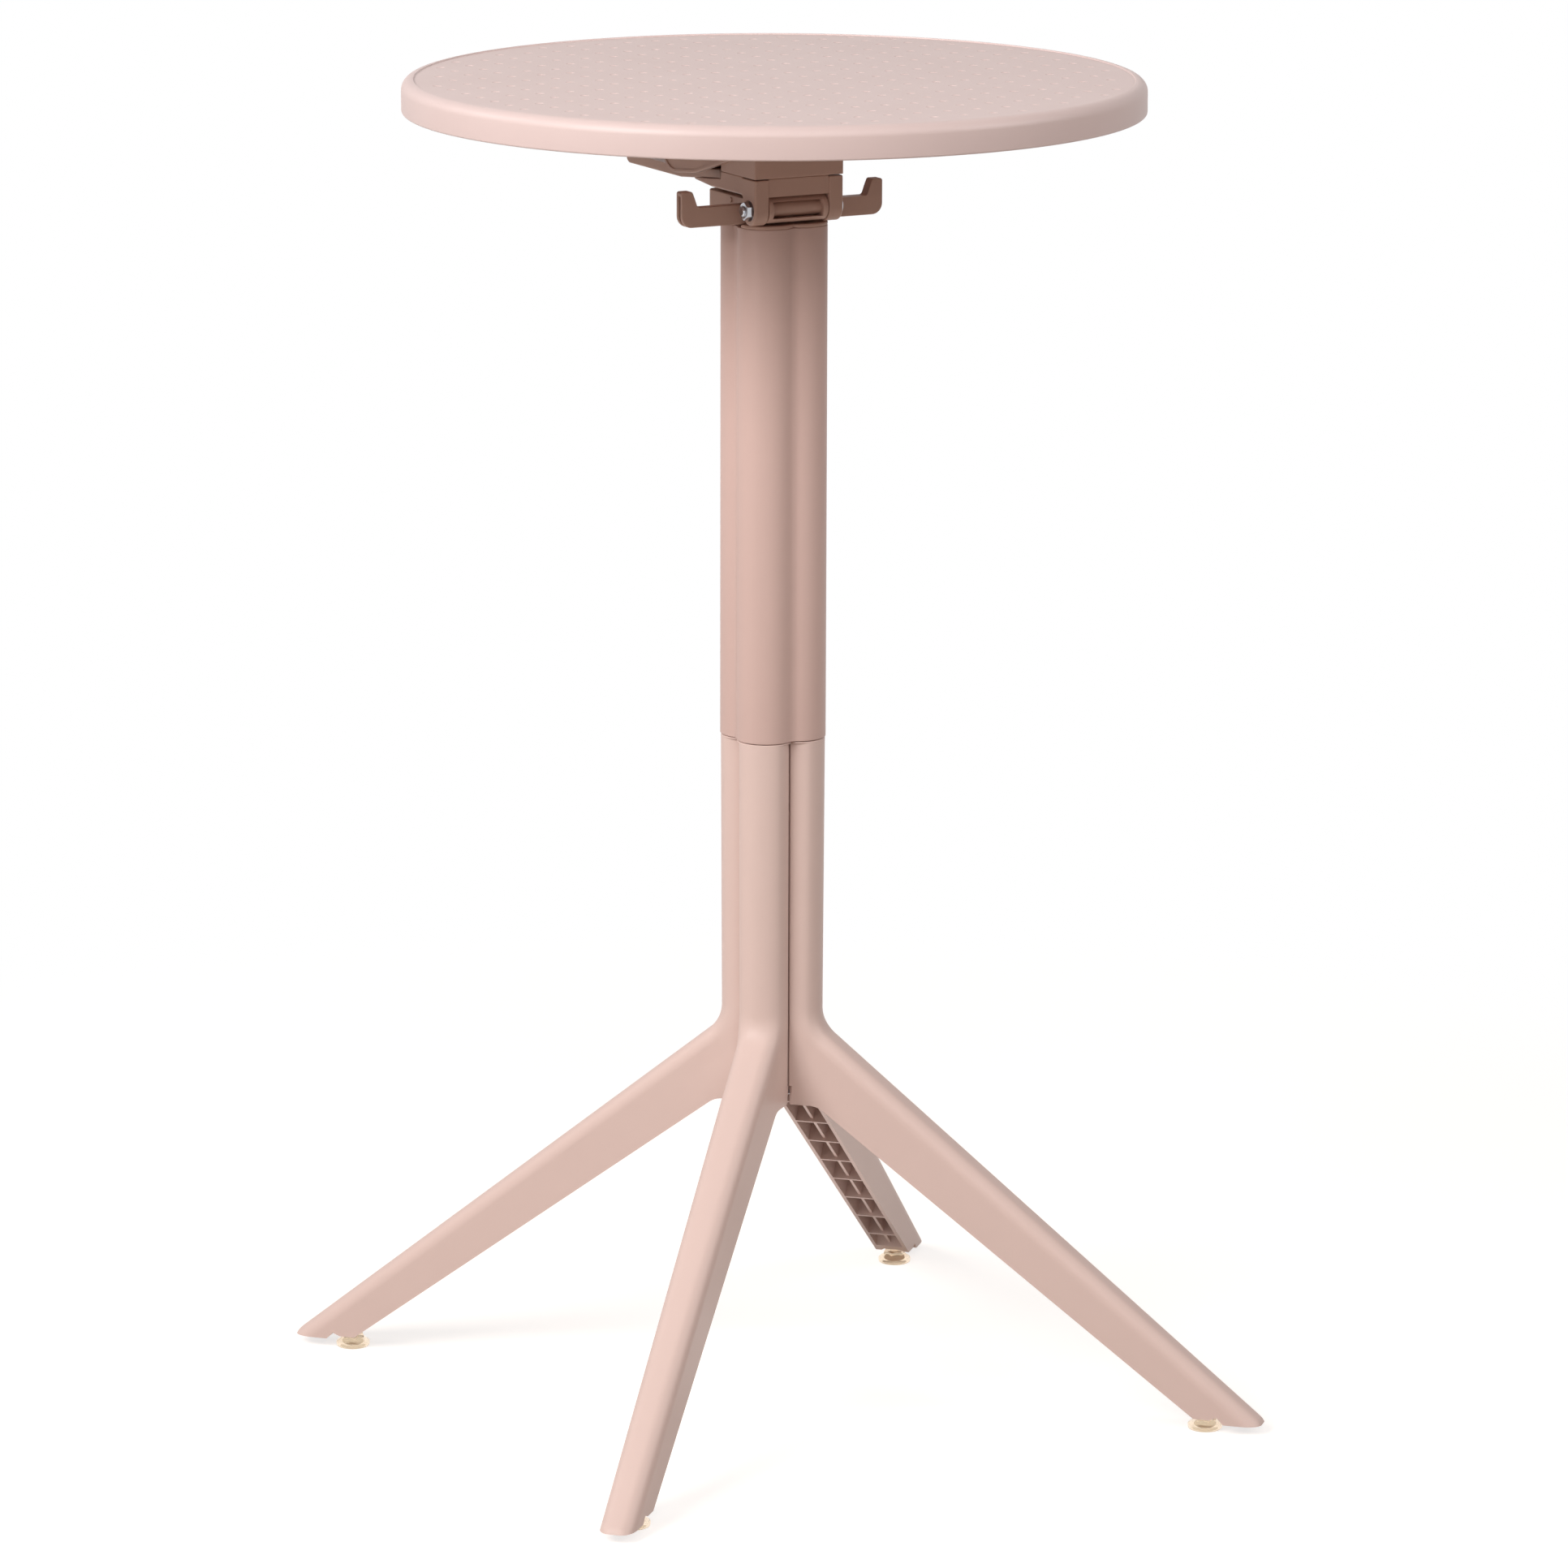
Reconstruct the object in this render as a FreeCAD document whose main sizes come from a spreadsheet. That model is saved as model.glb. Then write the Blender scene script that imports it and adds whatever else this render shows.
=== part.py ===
# Outdoor bar table: a round ribbed top that folds on a hinge head, a four-lobed column and four ribbed legs.
# Millimetres, +Z up, origin on the floor under the middle of the column.
# X is the hinge axis, -Y the side that the top folds towards. The legs point along the diagonals.
import FreeCAD, Part
import Sketcher
import math
import os
import re

SIZES = {
    # Allowances: how far joined forms run into each other, and cuts run past a face
    "fuse_depth": 2,
    "cut_margin": 1,
    # Tabletop
    "top_diameter": 590,
    "rim_height": 26,
    "rim_land": 10.3,
    "rim_wall": 3.5,
    "rim_round": 9,
    "rim_lip_round": 1.6,
    "field_recess": 1,
    "field_step": 0.8,
    "deck_thickness": 4.5,
    "deck_corner": 3,
    "top_rib_thickness": 2.5,
    "top_rib_depth": 12,
    "top_rib_count": 16,
    "inner_ring_radius": 112,
    "outer_ring_radius": 200,
    "boss_diameter": 14,
    "boss_height": 15,
    "boss_half_spacing": 50,
    "boss_front": 45,
    "boss_pitch": 77.5,
    # Bracket under the top
    "flange_half_width": 60,
    "flange_margin": 10,
    "flange_corner": 10,
    "flange_thickness": 5,
    "carrier_height": 48.8,
    "carrier_length": 58.5,
    "carrier_wall": 4,
    "cheek_thickness": 5,
    "cheek_sink": 0.5,
    "cheek_front": 8,
    "cheek_rear": 112,
    "cheek_drop": 9.7,
    "cheek_front_rise": 11.6,
    "cheek_belly_rise": 3.9,
    "cheek_round": 24,
    "cheek_lip": 2.5,
    "cheek_panel_depth": 1,
    # Tilt yoke
    "yoke_width": 79,
    "yoke_thickness": 14.7,
    "yoke_rear": 33.5,
    "yoke_tail_thickness": 6.3,
    "yoke_tail_rise": 2,
    "ear_thickness": 12.5,
    "ear_width": 22,
    "ear_lead": 0.5,
    "ear_drop": 1,
    "ear_fillet": 3,
    "ear_relief": 0.9,
    "yoke_edge_round": 2,
    "web_recess": 1.2,
    "tongue_length": 28.5,
    "tongue_tip": 1.5,
    "tongue_width": 9,
    "yoke_core_depth": 9,
    "yoke_core_inner": 3,
    "yoke_core_outer": 22,
    "yoke_core_margin": 4,
    # Hinge
    "hinge_forward": 32,
    "hinge_rise": 13,
    "knuckle_radius": 10.7,
    "knuckle_side_gap": 0.5,
    "knuckle_end_wall": 4.5,
    "knuckle_frame": 4,
    "hinge_gap": 0.3,
    "sleeve_radius": 6.2,
    "bolt_diameter": 8,
    "bolt_head_height": 3.7,
    "bolt_sink": 3.3,
    "bolt_across_corners": 15,
    "bolt_end": 2,
    "nut_height": 6.5,
    "washer_thickness": 1.6,
    "washer_diameter": 16,
    "running_clearance": 0.05,
    # Column head
    "cap_thickness": 3,
    "block_over_hinge": 5,
    "block_front": 21,
    "block_rear": 66,
    "block_corner": 8,
    "head_spigot_length": 30,
    "latch_lip": 6,
    "latch_depth": 3.5,
    "latch_half_width": 16,
    "block_core_wall": 5,
    "block_core_gap": 1,
    "stop_radius": 2.2,
    "stop_height": 1.2,
    "stop_place": 23,
    "stop_rise": 1,
    "pad_diameter": 12,
    "pad_half_spacing": 14,
    "pad_place": 26,
    "pad_gap": 0.1,
    # Bag-hook bar
    "hook_reach": 90,
    "hook_near_face": 15,
    "hook_thickness": 10,
    "hook_arm_height": 15.5,
    "hook_tip_rise": 13.2,
    "hook_tip_width": 9.5,
    "hook_tip_slope": 4.5,
    "hook_corner": 9,
    "hook_tip_round": 2,
    "hook_inner_round": 3,
    "hook_tongue_height": 8,
    "hook_slot_width": 3.7,
    "hook_slot_depth": 7,
    "hook_slot_margin": 4,
    "hook_fit": 0.1,
    # Release lever
    "lever_half_width": 22,
    "lever_thickness": 8,
    "lever_end": 217,
    "lever_end_round": 6,
    "lever_handle_start": 120,
    "lever_drop": 7.2,
    "lever_below_yoke": 4.2,
    "lever_front": 25,
    "lever_pin_place": 75,
    "lever_pin_rise": 24,
    "lever_hub_radius": 6.5,
    "lever_pin_diameter": 6,
    "lever_pin_seat": 2.5,
    "lever_side_gap": 0.5,
    "nose_gap": 0.8,
    "nose_half_width": 12,
    "nose_height": 5,
    "nose_drop": 1.5,
    "nose_step": 1.8,
    "nose_stem": 6,
    "spring_thickness": 0.8,
    "spring_gap": 0.4,
    "spring_half_width": 7,
    "spring_seat_start": 20,
    "spring_seat_end": 45,
    "spring_tip": 100,
    # Screws
    "screw_core_radius": 1.95,
    "screw_head_radius": 5,
    "screw_head_height": 3,
    "screw_bite": 11,
    "screw_tip_room": 1,
    "screw_hole_gap": 0.05,
    "screw_pass_radius": 2.6,
    "yoke_screw_half_spacing": 31.5,
    "yoke_screw_front": 12,
    "yoke_screw_rear": 8,
    "yoke_screw_bite": 20,
    "yoke_counterbore": 6,
    "yoke_counterbore_gap": 0.3,
    "carrier_boss_radius": 5,
    # Column
    "lobe_offset": 20,
    "column_lobe_radius": 23.5,
    "column_wall": 4,
    "column_valley_round": 9,
    "column_length": 416,
    "joint_height": 551,
    "spigot_clearance": 0.15,
    # Tie rod
    "rod_diameter": 8,
    "rod_clearance": 0.2,
    "rod_relief": 7,
    "rod_end": 0.5,
    "rod_nut_seat": 9,
    "rod_nut_pocket": 9,
    "clamp_radius": 25,
    "clamp_thickness": 4,
    "clamp_recess": 12,
    "clamp_clearance": 1,
    # Legs
    "neck_lobe_radius": 22.9,
    "hub_lobe_radius": 21.5,
    "seam_gap": 1,
    "seam_step": 2.3,
    "seam_step_rise": 16,
    "leg_spigot_length": 60,
    "spigot_wall": 3,
    "neck_core_apex": 12,
    "neck_core_start": 28,
    "hub_bottom": 247,
    "hub_edge": 43.2,
    "hub_round": 20,
    "bend_height": 310.3,
    "bend_reach": 42.5,
    "bend_round": 28,
    "bend_lean": 8,
    "bend_run": 31,
    "leg_root": 26,
    "leg_root_half_width": 18,
    "leg_tip_half_width": 14.4,
    "leg_flare_round": 25,
    "leg_dome": 11,
    "leg_wall": 3.5,
    "leg_void_start": 50,
    "rib_thickness": 2.2,
    "rib_first": 78.3,
    "rib_pitch": 35.7,
    "rib_count": 8,
    "rib_overhang": 6,
    "spine_thickness": 2.5,
    "spine_recess": 3,
    "toe_length": 50.6,
    "toe_height": 8,
    "heel_forward": 18.3,
    "heel_back": 9.4,
    "notch_forward": 12.8,
    "notch_height": 13.7,
    "skirt_forward": 6.7,
    "skirt_height": 11.1,
    "foot_seat_height": 13.3,
    "foot_bay_radius": 11.5,
    # Feet
    "foot_circle": 367.4,
    "foot_flange_diameter": 28,
    "foot_flange_height": 4,
    "foot_flange_chamfer": 1.5,
    "foot_cone_diameter": 16,
    "foot_cone_height": 4,
    "foot_collar_across": 19,
    "foot_collar_height": 6,
    "foot_stud_diameter": 8,
    "foot_stud_top": 33,
    "insert_diameter": 12,
    "insert_length": 22.7,
    "insert_headroom": 1.5,
    "insert_wall": 9.4,
}

# How near an edge has to lie to a line to count as on it
TOUCH = 0.05

doc = FreeCAD.newDocument("outdoor_bar_table")
sheet = doc.addObject("Spreadsheet::Sheet", "sizes")
for row, (alias, size) in enumerate(SIZES.items(), start=1):
    sheet.set("A%d" % row, alias)
    sheet.set("B%d" % row, str(size))
    sheet.setAlias("B%d" % row, alias)
doc.recompute()


# Expressions: text in the names of the sheet
def full(expression):
    """The expression with each size's name pointing into the sheet."""
    return re.sub(r"[a-z_]+", lambda m: "sizes." + m.group() if m.group() in SIZES else m.group(), expression)


def value(expression):
    return float(sheet.evalExpression(full(expression)))


def bind(item, prop, expression):
    item.setExpression(prop, full(expression))


# Heights, from the floor up
COLUMN_TOP = "(joint_height + column_length)"
HEAD_BASE = "(joint_height + column_length + cap_thickness)"
HINGE = "(joint_height + column_length + cap_thickness + hinge_rise)"
BLOCK_TOP = f"({HINGE} + block_over_hinge)"
YOKE_UNDER = f"({HINGE} + knuckle_radius + hinge_gap)"
YOKE_TOP = f"({YOKE_UNDER} + yoke_thickness)"
FLANGE_UNDER = f"({YOKE_TOP} + carrier_height)"
FLANGE_TOP = f"({FLANGE_UNDER} + flange_thickness)"
DECK_UNDER = f"({FLANGE_TOP} + boss_height)"
FIELD = f"({DECK_UNDER} + deck_thickness)"
CREST = f"({FIELD} + field_recess)"
# Faces that more than one piece is set against
TOP_RADIUS = "(top_diameter / 2)"
YOKE_SIDE = "(yoke_width / 2)"
HEAD_SIDE = "(yoke_width / 2 - ear_thickness - knuckle_side_gap)"
YOKE_FRONT = "(-hinge_forward - ear_width / 2 + ear_lead)"
CARRIER_REAR = f"({YOKE_FRONT} + carrier_length)"
CHEEK_INNER = f"({YOKE_SIDE} - cheek_sink)"
PIN_HEIGHT = f"({HINGE} + lever_pin_rise)"
HOOK_MIDDLE = "(hook_near_face - hook_thickness / 2)"
LATCH_UNDER = f"({BLOCK_TOP} - latch_lip)"
HUB_RECESS_TOP = "(hub_bottom + clamp_recess)"


# Sketches: closed outlines whose corners are bound to the sheet
def new_body(label):
    body = doc.addObject("PartDesign::Body", label)
    body.Label = label
    return body


def origin_plane(body, role):
    return next(item for item in body.Origin.OriginFeatures if item.Role == role)


def new_sketch(body, role, lift="0"):
    """A sketch on one of the body's origin planes, moved along the plane's normal by lift."""
    sketch = body.newObject("Sketcher::SketchObject", body.Name + "_sketch")
    sketch.AttachmentSupport = (origin_plane(body, role), "")
    sketch.MapMode = "FlatFace"
    bind(sketch, "AttachmentOffset.Base.z", lift)
    return sketch


def pin_point(sketch, geometry, end, across, up):
    for kind, size in (("DistanceX", across), ("DistanceY", up)):
        index = sketch.addConstraint(Sketcher.Constraint(kind, -1, 1, geometry, end, value(size)))
        bind(sketch, "Constraints[%d]" % index, size)


def arc_between(start, stop, radius, turn):
    """The short arc from start to stop, turning left for turn 1 and right for turn -1."""
    chord = stop - start
    side = FreeCAD.Vector(-chord.y, chord.x, 0).normalize()
    middle = (start + stop) * 0.5
    centre = middle + side * (turn * math.sqrt(max(radius ** 2 - (chord.Length / 2) ** 2, 0)))
    first, last = (start, stop) if turn > 0 else (stop, start)
    angles = [math.atan2(point.y - centre.y, point.x - centre.x) for point in (first, last)]
    return Part.ArcOfCircle(Part.Circle(centre, FreeCAD.Vector(0, 0, 1), radius), angles[0], angles[1])


def outline(sketch, corners):
    """Closed outline. A corner is (across, up), or (across, up, radius, turn) where an arc starts."""
    places = [FreeCAD.Vector(value(corner[0]), value(corner[1]), 0) for corner in corners]
    ends = []
    for number, corner in enumerate(corners):
        start, stop = places[number], places[(number + 1) % len(places)]
        if len(corner) == 2:
            geometry = sketch.addGeometry(Part.LineSegment(start, stop))
            ends.append((geometry, 1, 2))
        else:
            radius, turn = corner[2], corner[3]
            geometry = sketch.addGeometry(arc_between(start, stop, value(radius), turn))
            index = sketch.addConstraint(Sketcher.Constraint("Radius", geometry, value(radius)))
            bind(sketch, "Constraints[%d]" % index, radius)
            ends.append((geometry, 1, 2) if turn > 0 else (geometry, 2, 1))
        pin_point(sketch, ends[-1][0], ends[-1][1], corner[0], corner[1])
    for here, following in zip(ends, ends[1:] + ends[:1]):
        sketch.addConstraint(Sketcher.Constraint("Coincident", here[0], here[2], following[0], following[1]))


def rectangle(sketch, left, right, low, high):
    outline(sketch, [(left, low), (right, low), (right, high), (left, high)])


def ring(sketch, across, up, radius):
    circle = Part.Circle(FreeCAD.Vector(value(across), value(up), 0), FreeCAD.Vector(0, 0, 1), value(radius))
    geometry = sketch.addGeometry(circle)
    index = sketch.addConstraint(Sketcher.Constraint("Radius", geometry, value(radius)))
    bind(sketch, "Constraints[%d]" % index, radius)
    pin_point(sketch, geometry, 3, across, up)


# Body features
def pad(body, sketch, length, both_ways=False, backwards=False):
    feature = body.newObject("PartDesign::Pad", body.Name + "_pad")
    feature.Profile = sketch
    feature.SideType = "Symmetric" if both_ways else "One side"
    feature.Reversed = backwards
    bind(feature, "Length", length)
    body.Tip = feature
    return feature


def pocket(body, sketch, length, both_ways=False, backwards=False):
    doc.recompute()
    before = body.Tip.Shape.Volume
    feature = body.newObject("PartDesign::Pocket", body.Name + "_pocket")
    feature.Profile = sketch
    feature.SideType = "Symmetric" if both_ways else "One side"
    feature.Reversed = backwards
    bind(feature, "Length", length)
    body.Tip = feature
    doc.recompute()
    if feature.Shape.Volume >= before:
        raise RuntimeError(feature.Name + " cuts nothing")
    return feature


def revolve(body, sketch):
    feature = body.newObject("PartDesign::Revolution", body.Name + "_revolution")
    feature.Profile = sketch
    feature.ReferenceAxis = (sketch, ["V_Axis"])
    feature.Angle = 360
    body.Tip = feature
    return feature


def around(body, feature, count):
    """Repeat a feature around the body's Z axis."""
    pattern = body.newObject("PartDesign::PolarPattern", body.Name + "_pattern")
    pattern.Originals = [feature]
    pattern.Axis = (next(item for item in body.Origin.OriginFeatures if item.Role == "Z_Axis"), [""])
    pattern.Angle = 360
    bind(pattern, "Occurrences", count)
    body.Tip = pattern
    return pattern


def mirror(body, features):
    """Repeat features on the other side of the YZ plane."""
    copy = body.newObject("PartDesign::Mirrored", body.Name + "_mirror")
    copy.Originals = features
    copy.MirrorPlane = (origin_plane(body, "YZ_Plane"), [""])
    body.Tip = copy
    return copy


def round_edges(body, radius, wanted):
    """Fillet the edges of the body so far whose middle and direction pass the test."""
    doc.recompute()
    base = body.Tip
    names = []
    for number, edge in enumerate(base.Shape.Edges, start=1):
        middle = edge.valueAt((edge.FirstParameter + edge.LastParameter) / 2)
        if wanted(edge, middle):
            names.append("Edge%d" % number)
    if not names:
        raise RuntimeError(body.Label + " has no edge to round")
    feature = body.newObject("PartDesign::Fillet", body.Name + "_fillet")
    feature.Base = (base, names)
    bind(feature, "Radius", radius)
    body.Tip = feature
    return feature


def upright(edge):
    return edge.BoundBox.ZLength > edge.Length - TOUCH


def crosswise(edge):
    return edge.BoundBox.YLength > edge.Length - TOUCH


# Primitives and booleans
def cylinder(name, radius, height, base, axis="Z"):
    """A cylinder whose foot stands at base and that runs along +X or +Z."""
    item = doc.addObject("Part::Cylinder", name)
    bind(item, "Radius", radius)
    bind(item, "Height", height)
    if axis == "X":
        item.Placement.Rotation = FreeCAD.Rotation(FreeCAD.Vector(0, 1, 0), 90)
    for letter, place in zip("xyz", base):
        bind(item, "Placement.Base." + letter, place)
    return item


def hexagon(name, across_corners, height, base, axis="Z"):
    item = doc.addObject("Part::Prism", name)
    item.Polygon = 6
    bind(item, "Circumradius", f"{across_corners} / 2")
    bind(item, "Height", height)
    if axis == "X":
        item.Placement.Rotation = FreeCAD.Rotation(FreeCAD.Vector(0, 1, 0), 90)
    for letter, place in zip("xyz", base):
        bind(item, "Placement.Base." + letter, place)
    return item


def box(name, sizes, base, turn_axis=None, turn=None):
    item = doc.addObject("Part::Box", name)
    for prop, size in zip(("Length", "Width", "Height"), sizes):
        bind(item, prop, size)
    if turn_axis:
        item.Placement.Rotation = FreeCAD.Rotation(FreeCAD.Vector(*turn_axis), value(turn))
        bind(item, "Placement.Rotation.Angle", turn)
    for letter, place in zip("xyz", base):
        bind(item, "Placement.Base." + letter, place)
    return item


def join(name, items):
    joined = doc.addObject("Part::MultiFuse", name)
    joined.Shapes = items
    joined.Refine = True
    return joined


def cut(name, base, tool):
    item = doc.addObject("Part::Cut", name)
    item.Base = base
    item.Tool = tool
    return item


def common(name, first, second):
    item = doc.addObject("Part::Common", name)
    item.Base = first
    item.Tool = second
    return item


def group(label, items):
    bunch = doc.addObject("Part::Compound", label)
    bunch.Label = label
    bunch.Links = items
    return bunch


def washer(name, inner, outer, thickness, base, axis="Z"):
    return cut(name, cylinder(name + "_disc", outer, thickness, base, axis),
               cylinder(name + "_hole", inner, thickness, base, axis))


# Where the bracket's screws pass into the top's bosses
BOSSES = [(side, place) for side in ("-boss_half_spacing", "boss_half_spacing")
          for place in ("-boss_front", "boss_pitch - boss_front", "2 * boss_pitch - boss_front")]
YOKE_SCREWS = [(side, place) for side in ("-yoke_screw_half_spacing", "yoke_screw_half_spacing")
               for place in ("-yoke_screw_front", "yoke_screw_rear")]


# Tabletop: bullnose rim and recessed field in one revolve, with ribs and bosses underneath
def make_tabletop():
    body = new_body("tabletop")
    profile = new_sketch(body, "XZ_Plane")
    low = f"({CREST} - rim_height)"
    outline(profile, [
        ("0", DECK_UNDER),
        (f"{TOP_RADIUS} - rim_wall - deck_corner", DECK_UNDER, "deck_corner", -1),
        (f"{TOP_RADIUS} - rim_wall", f"{DECK_UNDER} - deck_corner"),
        (f"{TOP_RADIUS} - rim_wall", low),
        (f"{TOP_RADIUS} - rim_lip_round", low, "rim_lip_round", 1),
        (TOP_RADIUS, f"{low} + rim_lip_round"),
        (TOP_RADIUS, f"{CREST} - rim_round", "rim_round", 1),
        (f"{TOP_RADIUS} - rim_round", CREST),
        (f"{TOP_RADIUS} - rim_land + field_step", CREST),
        (f"{TOP_RADIUS} - rim_land", FIELD),
        ("0", FIELD)])
    revolve(body, profile)
    rings = new_sketch(body, "XZ_Plane")
    for radius in ("inner_ring_radius", "outer_ring_radius"):
        rectangle(rings, f"{radius} - top_rib_thickness / 2", f"{radius} + top_rib_thickness / 2",
                  f"{DECK_UNDER} - top_rib_depth", f"{DECK_UNDER} + deck_thickness / 2")
    revolve(body, rings)
    spoke = new_sketch(body, "XZ_Plane")
    rectangle(spoke, "inner_ring_radius", f"{TOP_RADIUS} - rim_wall / 2",
              f"{DECK_UNDER} - top_rib_depth", f"{DECK_UNDER} + deck_thickness / 2")
    around(body, pad(body, spoke, "top_rib_thickness", both_ways=True), "top_rib_count")
    bosses = new_sketch(body, "XY_Plane", FLANGE_TOP)
    for across, along in BOSSES:
        ring(bosses, across, along, "boss_diameter / 2")
    pad(body, bosses, "boss_height + deck_thickness / 2")
    pilots = new_sketch(body, "XY_Plane", FLANGE_TOP)
    for across, along in BOSSES:
        ring(pilots, across, along, "screw_core_radius + screw_hole_gap")
    pocket(body, pilots, "screw_bite + screw_tip_room", backwards=True)
    return body


# Bracket under the top: flange, hollow box down to the yoke, and two rounded cheeks that hold the lever's pin
def make_carrier_bracket():
    body = new_body("carrier_bracket")
    left, right = "-flange_half_width", "flange_half_width"
    front = "(-boss_front - flange_margin)"
    rear = "(2 * boss_pitch - boss_front + flange_margin)"
    plate = new_sketch(body, "XY_Plane", FLANGE_UNDER)
    outline(plate, [
        (f"{left} + flange_corner", front), (f"{right} - flange_corner", front, "flange_corner", 1),
        (right, f"{front} + flange_corner"), (right, f"{rear} - flange_corner", "flange_corner", 1),
        (f"{right} - flange_corner", rear), (f"{left} + flange_corner", rear, "flange_corner", 1),
        (left, f"{rear} - flange_corner"), (left, f"{front} + flange_corner", "flange_corner", 1)])
    pad(body, plate, "flange_thickness")
    walls = new_sketch(body, "XY_Plane", YOKE_TOP)
    rectangle(walls, f"-{YOKE_SIDE}", YOKE_SIDE, YOKE_FRONT, CARRIER_REAR)
    rectangle(walls, f"-{YOKE_SIDE} + carrier_wall", f"{YOKE_SIDE} - carrier_wall",
              f"{YOKE_FRONT} + carrier_wall", f"{CARRIER_REAR} - carrier_wall")
    pad(body, walls, "carrier_height + flange_thickness / 2")
    posts = new_sketch(body, "XY_Plane", YOKE_TOP)
    for across, along in YOKE_SCREWS:
        ring(posts, across, along, "carrier_boss_radius")
    pad(body, posts, "carrier_height + flange_thickness / 2")
    cheek = new_sketch(body, "YZ_Plane", CHEEK_INNER)
    outline(cheek, cheek_outline("0"))
    plate_side = pad(body, cheek, "cheek_thickness")
    panel = new_sketch(body, "YZ_Plane", f"{CHEEK_INNER} + cheek_thickness")
    outline(panel, cheek_outline("cheek_lip"))
    face = pocket(body, panel, "cheek_panel_depth")
    seat = new_sketch(body, "YZ_Plane", CHEEK_INNER)
    ring(seat, "lever_pin_place", PIN_HEIGHT, "lever_pin_diameter / 2")
    hole = pocket(body, seat, "lever_pin_seat", backwards=True)
    mirror(body, [plate_side, face, hole])
    passes = new_sketch(body, "XY_Plane", FLANGE_UNDER)
    for across, along in BOSSES + [("0", "(spring_seat_start + spring_seat_end) / 2")]:
        ring(passes, across, along, "screw_pass_radius")
    pocket(body, passes, "flange_thickness", backwards=True)
    pilots = new_sketch(body, "XY_Plane", YOKE_TOP)
    for across, along in YOKE_SCREWS:
        ring(pilots, across, along, "screw_core_radius + screw_hole_gap")
    pocket(body, pilots, "yoke_screw_bite + screw_tip_room", backwards=True)
    return body


def cheek_outline(inset):
    """Side view of a cheek, drawn in from its free edges by inset."""
    front = f"(-cheek_front + {inset})"
    rear = f"(cheek_rear - {inset})"
    low = f"({YOKE_TOP} - cheek_drop + {inset})"
    round_size = f"(cheek_round - {inset})"
    top = f"{FLANGE_UNDER} + flange_thickness / 2 * (1 - {inset} / cheek_lip) - {inset}"
    return [
        (front, top),
        (front, f"{YOKE_TOP} + cheek_front_rise + {inset}"),
        ("(cheek_rear - cheek_front) / 2", f"{low} + cheek_belly_rise"),
        (f"{rear} - {round_size}", low, round_size, 1),
        (rear, f"{low} + {round_size}"),
        (rear, top)]


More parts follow.
